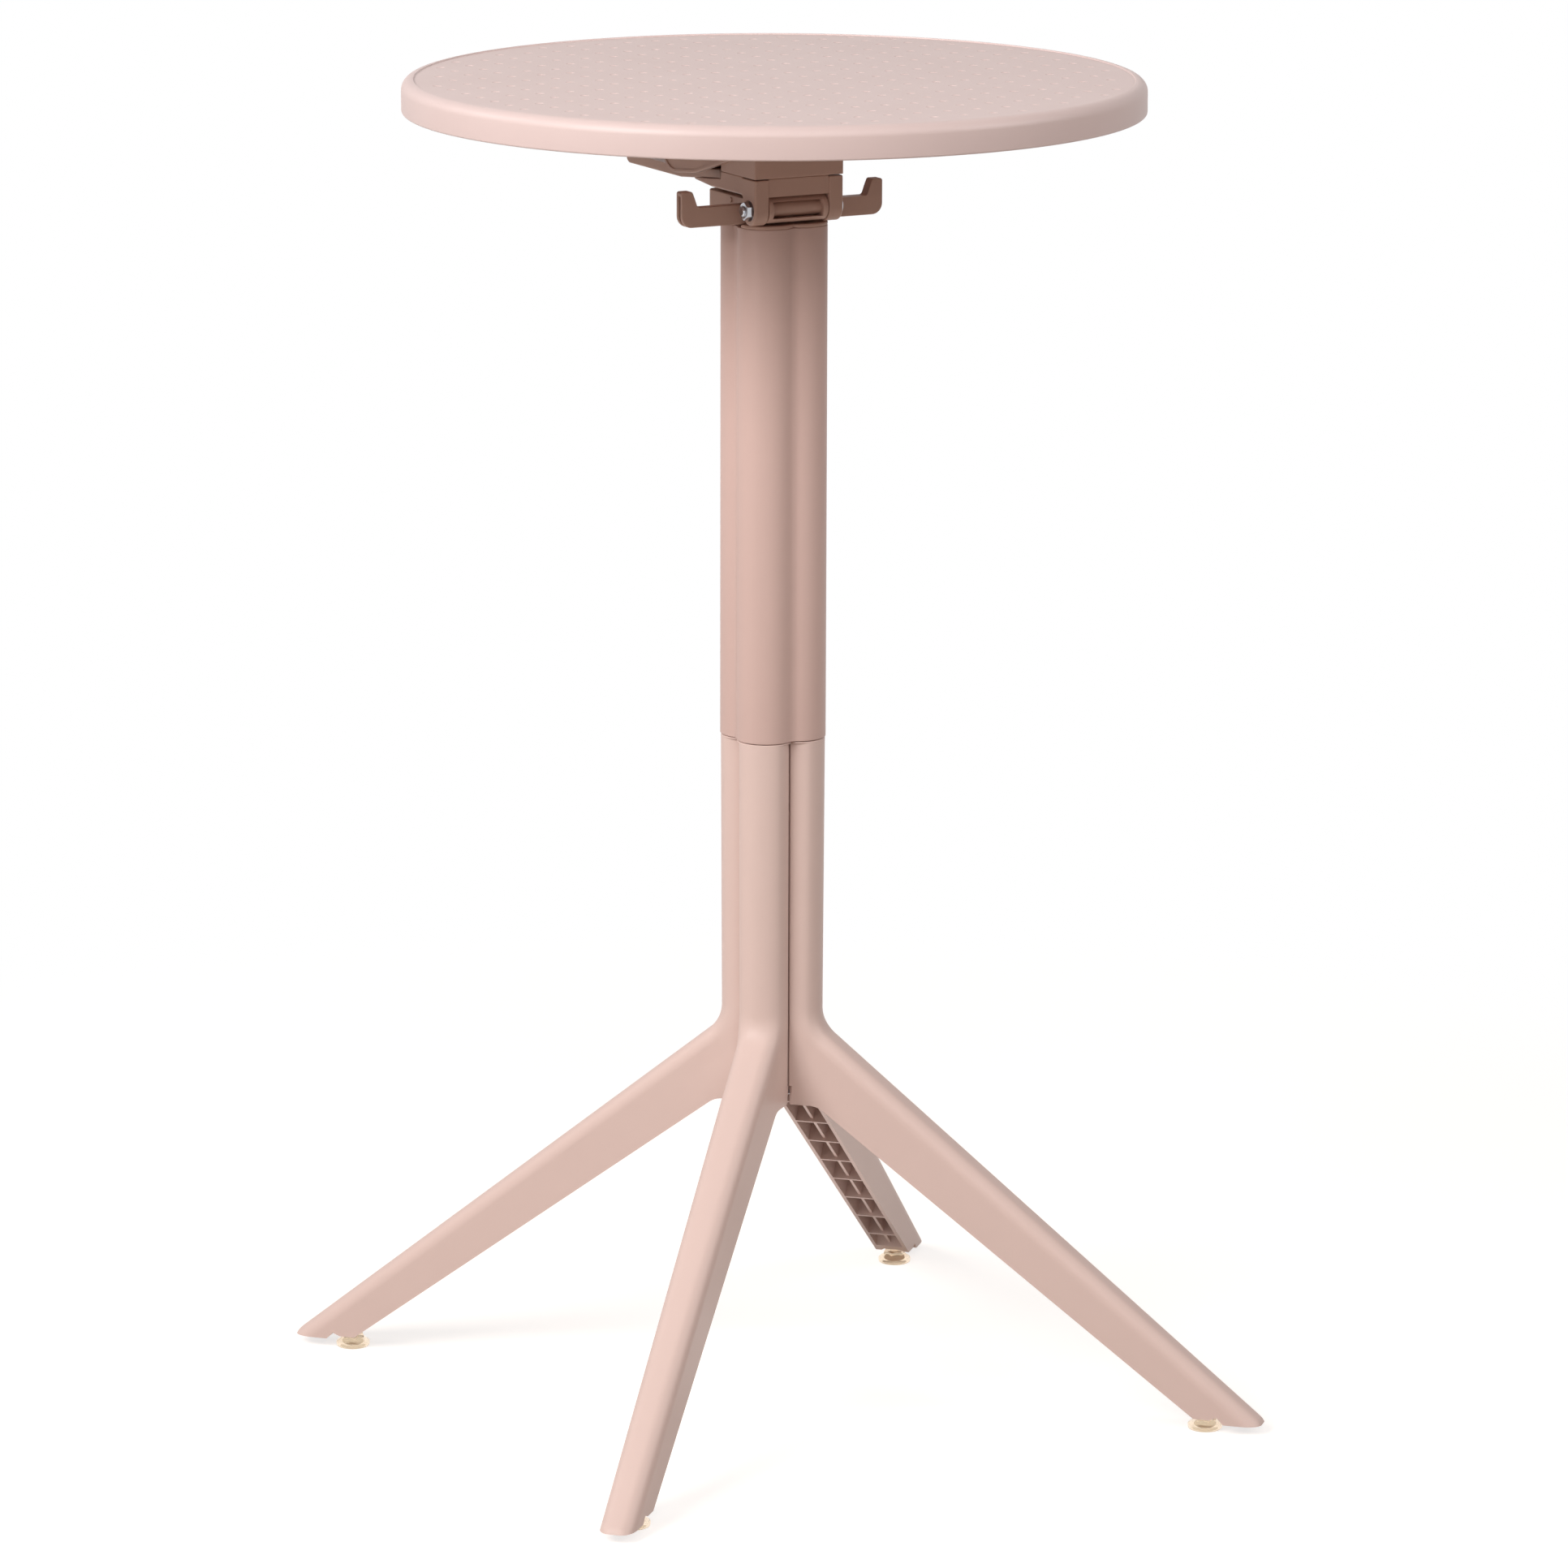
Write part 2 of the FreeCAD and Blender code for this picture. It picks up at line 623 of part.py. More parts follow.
# Tilt yoke: the block that the bracket is screwed to, with two ears round the knuckle
def make_tilt_yoke():
    body = new_body("tilt_yoke")
    tail_top = f"({YOKE_UNDER} + yoke_tail_thickness)"
    side = new_sketch(body, "YZ_Plane")
    outline(side, [
        (YOKE_FRONT, YOKE_UNDER), ("yoke_rear", YOKE_UNDER), ("yoke_rear", tail_top),
        (CARRIER_REAR, f"{tail_top} + yoke_tail_rise"), (CARRIER_REAR, YOKE_TOP), (YOKE_FRONT, YOKE_TOP)])
    pad(body, side, "yoke_width", both_ways=True)
    ear = new_sketch(body, "YZ_Plane", f"{YOKE_SIDE} - ear_thickness")
    back = f"({YOKE_FRONT} + ear_width)"
    half = "ear_width / 2"
    outline(ear, [
        (YOKE_FRONT, f"{YOKE_UNDER} + fuse_depth"),
        (YOKE_FRONT, f"{HINGE} - ear_drop", half, 1),
        (f"{YOKE_FRONT} + {half}", f"{HINGE} - ear_drop - {half}", half, 1),
        (back, f"{HINGE} - ear_drop"),
        (back, f"{YOKE_UNDER} - ear_fillet", "ear_fillet", -1),
        (f"{back} + ear_fillet", YOKE_UNDER),
        (f"{back} + ear_fillet", f"{YOKE_UNDER} + fuse_depth")])
    ear_pad = pad(body, ear, "ear_thickness")
    tongue = new_sketch(body, "YZ_Plane", f"{YOKE_SIDE} - tongue_width")
    outline(tongue, [
        ("yoke_rear - fuse_depth", YOKE_UNDER), ("yoke_rear", YOKE_UNDER),
        ("yoke_rear + tongue_length", f"{YOKE_UNDER} + yoke_tail_thickness / 2 - tongue_tip / 2"),
        ("yoke_rear + tongue_length", f"{YOKE_UNDER} + yoke_tail_thickness / 2 + tongue_tip / 2"),
        ("yoke_rear", tail_top), ("yoke_rear - fuse_depth", tail_top)])
    tongue_pad = pad(body, tongue, "tongue_width")
    mirror(body, [ear_pad, tongue_pad])
    web = new_sketch(body, "XY_Plane", YOKE_TOP)
    inner = f"({YOKE_SIDE} - ear_thickness)"
    rectangle(web, f"-{inner}", inner, f"{YOKE_FRONT} - cut_margin", f"{YOKE_FRONT} + web_recess")
    pocket(body, web, "yoke_thickness")
    relief = new_sketch(body, "XY_Plane", YOKE_TOP)
    for near, far in ((f"-{YOKE_SIDE} - cut_margin", f"-{inner}"), (inner, f"{YOKE_SIDE} + cut_margin")):
        rectangle(relief, near, far, f"{YOKE_FRONT} - cut_margin", back)
    pocket(body, relief, "ear_relief")
    bore = new_sketch(body, "YZ_Plane")
    ring(bore, "-hinge_forward", HINGE, "bolt_diameter / 2 + running_clearance")
    pocket(body, bore, "2 * yoke_width", both_ways=True)
    sink = new_sketch(body, "YZ_Plane", YOKE_SIDE)
    ring(sink, "-hinge_forward", HINGE, "washer_diameter / 2 + yoke_counterbore_gap")
    mirror(body, [pocket(body, sink, "bolt_sink")])
    cores = new_sketch(body, "XY_Plane", YOKE_UNDER)
    for near, far in (("-yoke_core_outer", "-yoke_core_inner"), ("yoke_core_inner", "yoke_core_outer")):
        rectangle(cores, near, far,
                  "-yoke_screw_front - yoke_core_margin", "yoke_screw_rear + yoke_core_margin")
    pocket(body, cores, "yoke_core_depth", backwards=True)
    passes = new_sketch(body, "XY_Plane", YOKE_UNDER)
    seats = new_sketch(body, "XY_Plane", YOKE_UNDER)
    for across, along in YOKE_SCREWS:
        ring(passes, across, along, "screw_pass_radius")
        ring(seats, across, along, "screw_head_radius + yoke_counterbore_gap")
    pocket(body, passes, "yoke_thickness", backwards=True)
    pocket(body, seats, "yoke_counterbore", backwards=True)
    flank, front = value(YOKE_SIDE), value(YOKE_FRONT)
    round_edges(body, "yoke_edge_round", lambda edge, middle: upright(edge)
                and abs(abs(middle.x) - flank) < TOUCH and abs(middle.y - front) < TOUCH)
    return body


# Pan-head screw that points up from a seat
def screw(name, across, along, seat, bite):
    head = cylinder(name + "_head", "screw_head_radius", "screw_head_height",
                    (across, along, f"{seat} - screw_head_height"))
    shank = cylinder(name + "_shank", "screw_core_radius", bite, (across, along, seat))
    return join(name, [head, shank])


def make_screws():
    yoke_seat = f"({YOKE_UNDER} + yoke_counterbore)"
    yoke_reach = "yoke_thickness - yoke_counterbore + yoke_screw_bite"
    spring_seat = f"({FLANGE_UNDER} - spring_thickness)"
    return [
        group("carrier_screws", [screw("carrier_screw_%d" % number, across, along, FLANGE_UNDER,
                                       "flange_thickness + screw_bite")
                                 for number, (across, along) in enumerate(BOSSES)]),
        group("yoke_screws", [screw("yoke_screw_%d" % number, across, along, yoke_seat, yoke_reach)
                              for number, (across, along) in enumerate(YOKE_SCREWS)]),
        group("spring_screw", [screw("spring_screw_form", "0", "(spring_seat_start + spring_seat_end) / 2",
                                     spring_seat, "spring_thickness + flange_thickness")])]


# Where the lever's underside runs along the handle, and where its front end starts
LEVER_LOW = f"({YOKE_UNDER} - lever_below_yoke)"
LEVER_START = "(lever_pin_place - lever_front)"


# Release lever: long bowed handle, cross hub on the pin, and a nose that hooks under the head's rear lip
def make_release_lever():
    body = new_body("release_lever")
    low = LEVER_LOW
    start = LEVER_START
    bar = new_sketch(body, "YZ_Plane")
    outline(bar, [
        (start, f"{low} + lever_drop"),
        ("lever_handle_start", low),
        ("lever_end - lever_end_round", low, "lever_end_round", 1),
        ("lever_end", f"{low} + lever_end_round"),
        ("lever_end", f"{low} + lever_thickness"),
        ("lever_handle_start", f"{low} + lever_thickness"),
        (start, f"{low} + lever_drop + lever_thickness")])
    pad(body, bar, "2 * lever_half_width", both_ways=True)
    hub = new_sketch(body, "YZ_Plane")
    ring(hub, "lever_pin_place", PIN_HEIGHT, "lever_hub_radius")
    pad(body, hub, f"2 * ({CHEEK_INNER} - lever_side_gap)", both_ways=True)
    nose = new_sketch(body, "YZ_Plane")
    tip = "(block_rear + nose_gap)"
    stem = f"({tip} + nose_step)"
    stem_back = f"({stem} + nose_stem)"
    nose_top = f"({LATCH_UNDER} - nose_drop)"
    nose_low = f"({nose_top} - nose_height)"
    hub_low = f"({PIN_HEIGHT} - lever_hub_radius)"
    outline(nose, [
        (tip, nose_top), (tip, nose_low), (stem_back, nose_low), (stem_back, hub_low), (stem, hub_low),
        (stem, nose_top)])
    pad(body, nose, "2 * nose_half_width", both_ways=True)
    bore = new_sketch(body, "YZ_Plane")
    ring(bore, "lever_pin_place", PIN_HEIGHT, "lever_pin_diameter / 2 + running_clearance")
    pocket(body, bore, "2 * yoke_width", both_ways=True)
    return body


# Leaf spring that presses the handle down
def make_lever_spring():
    body = new_body("lever_spring")
    leaf = new_sketch(body, "YZ_Plane")
    bow = f"lever_drop * (lever_handle_start - spring_tip) / (lever_handle_start - {LEVER_START})"
    rest = f"({LEVER_LOW} + lever_thickness + {bow} + spring_gap)"
    seat = f"({FLANGE_UNDER} - spring_thickness)"
    fall = f"(({seat} - {rest}) / (spring_tip - spring_seat_end))"
    slant = f"sqrt(1 + {fall}^2)"
    outline(leaf, [
        ("spring_seat_start", FLANGE_UNDER), ("spring_seat_start", seat), ("spring_seat_end", seat),
        ("spring_tip", rest), ("spring_tip", f"{rest} + spring_thickness * {slant}"),
        (f"spring_seat_end + spring_thickness * ({slant} - 1) / {fall}", FLANGE_UNDER)])
    pad(body, leaf, "2 * spring_half_width", both_ways=True)
    hole = new_sketch(body, "XY_Plane", FLANGE_UNDER)
    ring(hole, "0", "(spring_seat_start + spring_seat_end) / 2", "screw_pass_radius")
    pocket(body, hole, "2 * spring_thickness", both_ways=True)
    return body


# Column head: lobed cap and spigot, block with the latch lip, and the hinge knuckle with its front window
def make_column_head():
    body = new_body("column_head")
    block = new_sketch(body, "XY_Plane", HEAD_BASE)
    side = HEAD_SIDE
    outline(block, [
        (f"-{side}", "-block_front"), (side, "-block_front"),
        (side, "block_rear - block_corner", "block_corner", 1), (f"{side} - block_corner", "block_rear"),
        (f"-{side} + block_corner", "block_rear", "block_corner", 1),
        (f"-{side}", "block_rear - block_corner")])
    pad(body, block, "hinge_rise + block_over_hinge")
    for radius, depth in (("column_lobe_radius", "cap_thickness"),
                          ("(column_lobe_radius - column_wall - spigot_clearance)",
                           "(cap_thickness + head_spigot_length)")):
        lobe = new_sketch(body, "XY_Plane", HEAD_BASE)
        ring(lobe, "lobe_offset * cos(45)", "lobe_offset * sin(45)", radius)
        around(body, pad(body, lobe, depth, backwards=True), "4")
    stop = new_sketch(body, "YZ_Plane", side)
    ring(stop, "stop_place", f"{HINGE} + stop_rise", "stop_radius")
    mirror(body, [pad(body, stop, "stop_height")])
    barrel = new_sketch(body, "YZ_Plane")
    ring(barrel, "-hinge_forward", HINGE, "knuckle_radius")
    pad(body, barrel, f"2 * {side}", both_ways=True)
    neck = new_sketch(body, "YZ_Plane")
    rectangle(neck, "-hinge_forward", "-block_front + fuse_depth", f"{HINGE} - knuckle_radius", BLOCK_TOP)
    pad(body, neck, f"2 * {side}", both_ways=True)
    window = new_sketch(body, "XZ_Plane", "hinge_forward + knuckle_radius")
    rectangle(window, f"-{side} + knuckle_end_wall", f"{side} - knuckle_end_wall",
              f"{HINGE} - knuckle_radius + knuckle_frame", f"{HINGE} + knuckle_radius - knuckle_frame")
    pocket(body, window, "knuckle_radius + sleeve_radius + cut_margin")
    bore = new_sketch(body, "YZ_Plane")
    ring(bore, "-hinge_forward", HINGE, "sleeve_radius + running_clearance")
    pocket(body, bore, "2 * yoke_width", both_ways=True)
    slot = new_sketch(body, "YZ_Plane")
    rectangle(slot, "-hook_near_face - hook_fit", "-hook_near_face + hook_thickness + hook_fit",
              COLUMN_TOP, f"{COLUMN_TOP} + hook_tongue_height + hook_fit")
    pocket(body, slot, "2 * yoke_width", both_ways=True)
    rod = new_sketch(body, "XY_Plane", BLOCK_TOP)
    ring(rod, "0", "0", "rod_diameter / 2 + rod_clearance")
    pocket(body, rod, "block_over_hinge + hinge_rise + cap_thickness + head_spigot_length + cut_margin")
    seat = new_sketch(body, "XY_Plane", BLOCK_TOP)
    ring(seat, "0", "0", "rod_nut_pocket")
    pocket(body, seat, "rod_nut_seat")
    latch = new_sketch(body, "XY_Plane", HEAD_BASE)
    rectangle(latch, "-latch_half_width", "latch_half_width",
              "block_rear - latch_depth", "block_rear + cut_margin")
    pocket(body, latch, "hinge_rise + block_over_hinge - latch_lip", backwards=True)
    core = new_sketch(body, "XY_Plane", HEAD_BASE)
    rectangle(core, f"-{side} + block_core_wall", f"{side} - block_core_wall",
              "lobe_offset * sin(45) + column_lobe_radius + block_core_gap",
              "block_rear - latch_depth - block_core_wall")
    pocket(body, core, "hinge_rise + block_over_hinge - block_core_wall", backwards=True)
    return body


def make_rest_pads():
    pads = [cylinder("rest_pad_%d" % number, "pad_diameter / 2", f"{YOKE_UNDER} - {BLOCK_TOP} - pad_gap",
                     (side, "pad_place", BLOCK_TOP))
            for number, side in enumerate(("-pad_half_spacing", "pad_half_spacing"))]
    return group("rest_pads", pads)


# Bag-hook bar: a low tongue through the head, and an arm with an upturned hook on each side
def make_hook_bar():
    body = new_body("hook_bar")
    profile = new_sketch(body, "XZ_Plane", HOOK_MIDDLE)
    shoulder = f"({HEAD_SIDE} + hook_fit)"
    arm_low = HEAD_BASE
    arm_top = f"({HEAD_BASE} + hook_arm_height)"
    tip = f"({HEAD_BASE} + hook_arm_height + hook_tip_rise)"
    tongue_top = f"({COLUMN_TOP} + hook_tongue_height)"
    inner = "(hook_reach - hook_tip_width)"
    outline(profile, [
        (f"-{shoulder}", COLUMN_TOP), (shoulder, COLUMN_TOP), (shoulder, arm_low),
        ("hook_reach - hook_corner", arm_low, "hook_corner", 1), ("hook_reach", f"{arm_low} + hook_corner"),
        ("hook_reach", tip), (inner, tip), (f"{inner} - hook_tip_slope", arm_top),
        (shoulder, arm_top), (shoulder, tongue_top), (f"-{shoulder}", tongue_top), (f"-{shoulder}", arm_top),
        (f"-{inner} + hook_tip_slope", arm_top), (f"-{inner}", tip), ("-hook_reach", tip),
        ("-hook_reach", f"{arm_low} + hook_corner", "hook_corner", 1), ("-hook_reach + hook_corner", arm_low),
        (f"-{shoulder}", arm_low)])
    pad(body, profile, "hook_thickness", both_ways=True)
    tip_level, arm_level, bend_place = value(tip), value(arm_top), value(f"{inner} - hook_tip_slope")
    round_edges(body, "hook_tip_round", lambda edge, middle: crosswise(edge) and middle.z > tip_level - TOUCH)
    round_edges(body, "hook_inner_round", lambda edge, middle: crosswise(edge)
                and abs(middle.z - arm_level) < TOUCH and abs(abs(middle.x) - bend_place) < TOUCH)
    slot = new_sketch(body, "YZ_Plane", "hook_reach")
    rectangle(slot, f"-{HOOK_MIDDLE} - hook_slot_width / 2", f"-{HOOK_MIDDLE} + hook_slot_width / 2",
              f"{arm_low} - cut_margin", f"{tip} - hook_slot_margin")
    mirror(body, [pocket(body, slot, "hook_slot_depth")])
    return body


# Hinge bolt along X, with its nut, washers and the sleeve that it turns in
def make_hinge_fasteners():
    axis = ("-hinge_forward", HINGE)
    seat = f"({YOKE_SIDE} - bolt_sink)"
    left = f"(-{seat} - washer_thickness - nut_height - bolt_end)"
    right = f"({seat} + washer_thickness)"
    shank = cylinder("pivot_shank", "bolt_diameter / 2", f"{right} - {left}", (left,) + axis, "X")
    head = hexagon("pivot_head", "bolt_across_corners", "bolt_head_height", (right,) + axis, "X")
    nut_foot = f"(-{seat} - washer_thickness - nut_height)"
    nut = cut("pivot_nut",
              hexagon("pivot_nut_hexagon", "bolt_across_corners", "nut_height", (nut_foot,) + axis, "X"),
              cylinder("pivot_nut_hole", "bolt_diameter / 2", "nut_height", (nut_foot,) + axis, "X"))
    washers = [washer("pivot_washer_%d" % number, "bolt_diameter / 2 + rod_clearance", "washer_diameter / 2",
                      "washer_thickness", (place,) + axis, "X")
               for number, place in enumerate((f"-{seat} - washer_thickness", seat))]
    sleeve = washer("pivot_sleeve", "bolt_diameter / 2 + running_clearance", "sleeve_radius",
                    f"2 * {HEAD_SIDE}", (f"-{HEAD_SIDE}",) + axis, "X")
    return [join("pivot_bolt", [shank, head]), nut, group("pivot_washers", washers), sleeve]


def make_lever_pin():
    reach = f"({CHEEK_INNER} + lever_pin_seat)"
    return cylinder("lever_pin", "lever_pin_diameter / 2", f"2 * {reach}",
                    (f"-{reach}", "lever_pin_place", PIN_HEIGHT), "X")


# Upper column: four-lobed tube with softened valleys
def make_upper_column():
    body = new_body("upper_column")
    lobe = new_sketch(body, "XY_Plane", "joint_height")
    ring(lobe, "lobe_offset * cos(45)", "lobe_offset * sin(45)", "column_lobe_radius")
    around(body, pad(body, lobe, "column_length"), "4")
    round_edges(body, "column_valley_round", lambda edge, middle: upright(edge)
                and min(abs(middle.x), abs(middle.y)) < TOUCH < max(abs(middle.x), abs(middle.y)))
    bore = new_sketch(body, "XY_Plane", "joint_height")
    ring(bore, "lobe_offset * cos(45)", "lobe_offset * sin(45)", "column_lobe_radius - column_wall")
    around(body, pocket(body, bore, "column_length", backwards=True), "4")
    middle_bore = new_sketch(body, "XY_Plane", "joint_height")
    ring(middle_bore, "0", "0", "lobe_offset / 2")
    pocket(body, middle_bore, "column_length", backwards=True)
    return body


# Tie rod from the hub to the head, with the plate and nuts that it pulls on
def make_tie_rod():
    plate_low = f"({HUB_RECESS_TOP} - clamp_thickness)"
    nut_low = f"({plate_low} - nut_height)"
    seat = f"({BLOCK_TOP} - rod_nut_seat)"
    top_nut = f"({seat} + washer_thickness)"
    rod_low = f"({nut_low} - rod_end)"
    rod = cylinder("tie_rod", "rod_diameter / 2", f"{top_nut} + nut_height + rod_end - {rod_low}",
                   ("0", "0", rod_low))
    plate = washer("base_clamp", "rod_diameter / 2 + rod_clearance", "clamp_radius", "clamp_thickness",
                   ("0", "0", plate_low))
    nuts = [cut(name, hexagon(name + "_hexagon", "bolt_across_corners", "nut_height", ("0", "0", low)),
                cylinder(name + "_hole", "rod_diameter / 2", "nut_height", ("0", "0", low)))
            for name, low in (("base_nut", nut_low), ("head_nut", top_nut))]
    head_washer = washer("head_washer", "rod_diameter / 2 + rod_clearance", "washer_diameter / 2",
                         "washer_thickness", ("0", "0", seat))
    return [rod, plate, head_washer] + nuts


# Leg, drawn along +X: a quarter of the lobed column that bends into a domed, open-bottomed beam
TIP_REACH = "(foot_circle + toe_length)"
TOP_SLOPE = f"((bend_height - toe_height) / ({TIP_REACH} - bend_reach))"
TOP_ANGLE = f"atan({TOP_SLOPE})"
HEEL_START = "(foot_circle - heel_back)"
UNDER_SLOPE = f"((hub_bottom - foot_seat_height) / ({HEEL_START} - hub_edge))"
UNDER_ANGLE = f"atan({UNDER_SLOPE})"
BEND_TANGENT = f"(bend_round * tan((90 deg - {TOP_ANGLE} + bend_lean * 1 deg) / 2))"
HUB_TANGENT = f"(hub_round * tan({UNDER_ANGLE} / 2))"
# Half width of the blanks that the beam and its hollows are trimmed from
BLANK = "(3 * leg_root_half_width)"


def under(reach):
    """Height of the leg's underside at a reach."""
    return f"(hub_bottom - {UNDER_SLOPE} * ({reach} - hub_edge))"


def over(reach):
    """Height of the leg's straight top line at a reach."""
    return f"(bend_height - {TOP_SLOPE} * ({reach} - bend_reach))"


def trim_sides(body, inset):
    """Cut the beam's sides to its plan, which tapers from root to tip."""
    far = "(foot_circle + 2 * toe_length)"
    for sign in ("", "-"):
        sides = new_sketch(body, "XY_Plane", "hub_bottom")
        root, tip = f"{sign}(leg_root_half_width - {inset})", f"{sign}(leg_tip_half_width - {inset})"
        outline(sides, [("0", root), (far, tip), (far, f"{sign}{BLANK}"), ("0", f"{sign}{BLANK}")])
        pocket(body, sides, "4 * hub_bottom", both_ways=True)


def flare_body():
    """Web that eases the lobe's round side into the beam's flat one, below the dome."""
    body = new_body("leg_flare")
    reach = "(hub_lobe_radius + leg_flare_round)"
    run = f"sqrt({reach}^2 - (leg_root_half_width + leg_flare_round)^2)"
    flare_end = f"(lobe_offset + {run})"
    flare_start = f"(lobe_offset + hub_lobe_radius * {run} / {reach})"
    flare_wide = f"(hub_lobe_radius * (leg_root_half_width + leg_flare_round) / {reach})"
    flare_narrow = f"(leg_root_half_width + (leg_tip_half_width - leg_root_half_width) * {flare_end}"
    flare_narrow += " / (foot_circle + 2 * toe_length))"
    plan = new_sketch(body, "XY_Plane", "hub_bottom")
    outline(plan, [
        ("leg_root", f"-{flare_wide}"), (flare_start, f"-{flare_wide}", "leg_flare_round", -1),
        (flare_end, f"-{flare_narrow}"), (flare_end, flare_narrow, "leg_flare_round", -1),
        (flare_start, flare_wide), ("leg_root", flare_wide)])
    pad(body, plan, "bend_height - hub_bottom")
    top = new_sketch(body, "XZ_Plane")
    drop = f"leg_dome / cos({TOP_ANGLE})"
    outline(top, [("0", f"{over('0')} - {drop}"), ("2 * hub_edge", f"{over('2 * hub_edge')} - {drop}"),
                  ("2 * hub_edge", "2 * bend_height"), ("0", "2 * bend_height")])
    pocket(body, top, f"2 * {BLANK}", both_ways=True)
    return body


def beam_body():
    body = new_body("leg_beam")
    side = new_sketch(body, "XZ_Plane")
    past_tip = f"({TIP_REACH} + toe_length)"
    outline(side, [
        ("leg_root", "hub_bottom"),
        (f"hub_edge - {HUB_TANGENT}", "hub_bottom", "hub_round", -1),
        (f"hub_edge + {HUB_TANGENT} * cos({UNDER_ANGLE})",
         f"hub_bottom - {HUB_TANGENT} * sin({UNDER_ANGLE})"),
        (past_tip, under(past_tip)),
        (past_tip, over(past_tip)),
        (f"bend_reach + {BEND_TANGENT} * cos({TOP_ANGLE})",
         f"bend_height - {BEND_TANGENT} * sin({TOP_ANGLE})", "bend_round", -1),
        (f"bend_reach - {BEND_TANGENT} * sin(bend_lean)", f"bend_height + {BEND_TANGENT} * cos(bend_lean)"),
        ("bend_reach - bend_run * sin(bend_lean)", "bend_height + bend_run * cos(bend_lean)"),
        ("leg_root", "bend_height + bend_run * cos(bend_lean)")])
    pad(body, side, f"2 * {BLANK}", both_ways=True)
    trim_sides(body, "0")
    bend_start = value("bend_reach - bend_run * sin(bend_lean)")
    top_slope, bend_reach, bend_height = value(TOP_SLOPE), value("bend_reach"), value("bend_height")
    shortest = value("leg_dome")

    def along_top(edge, middle):
        line = bend_height - top_slope * (middle.x - bend_reach)
        above = middle.x > bend_start and middle.z > line - TOUCH
        return above and not crosswise(edge) and edge.Length > shortest
    round_edges(body, "leg_dome", along_top)
    floor = new_sketch(body, "XZ_Plane")
    outline(floor, [
        ("leg_root", "skirt_height"), ("foot_circle + skirt_forward", "skirt_height"),
        ("foot_circle + notch_forward", "notch_height"), ("foot_circle + heel_forward", "toe_height"),
        (f"2 * {past_tip}", "toe_height"),
        (f"2 * {past_tip}", "-hub_bottom"), ("leg_root", "-hub_bottom")])
    pocket(body, floor, f"2 * {BLANK}", both_ways=True)
    return body


def void_body():
    """Space inside the beam, open at the underside."""
    body = new_body("leg_void")
    side = new_sketch(body, "XZ_Plane")
    end = "(foot_circle - insert_diameter / 2 - insert_wall)"
    drop = f"leg_wall / cos({TOP_ANGLE})"
    outline(side, [
        ("leg_void_start", f"{under('leg_void_start')} - cut_margin"), (end, f"{under(end)} - cut_margin"),
        (end, f"{over(end)} - {drop}"), ("leg_void_start", f"{over('leg_void_start')} - {drop}")])
    pad(body, side, f"2 * {BLANK}", both_ways=True)
    trim_sides(body, "leg_wall")
    longest = value("foot_circle / 2")
    round_edges(body, "leg_dome - leg_wall", lambda edge, middle: edge.Length > longest
                and middle.z > value(f"{over(repr(middle.x))} - {drop}") - TOUCH)
    return body


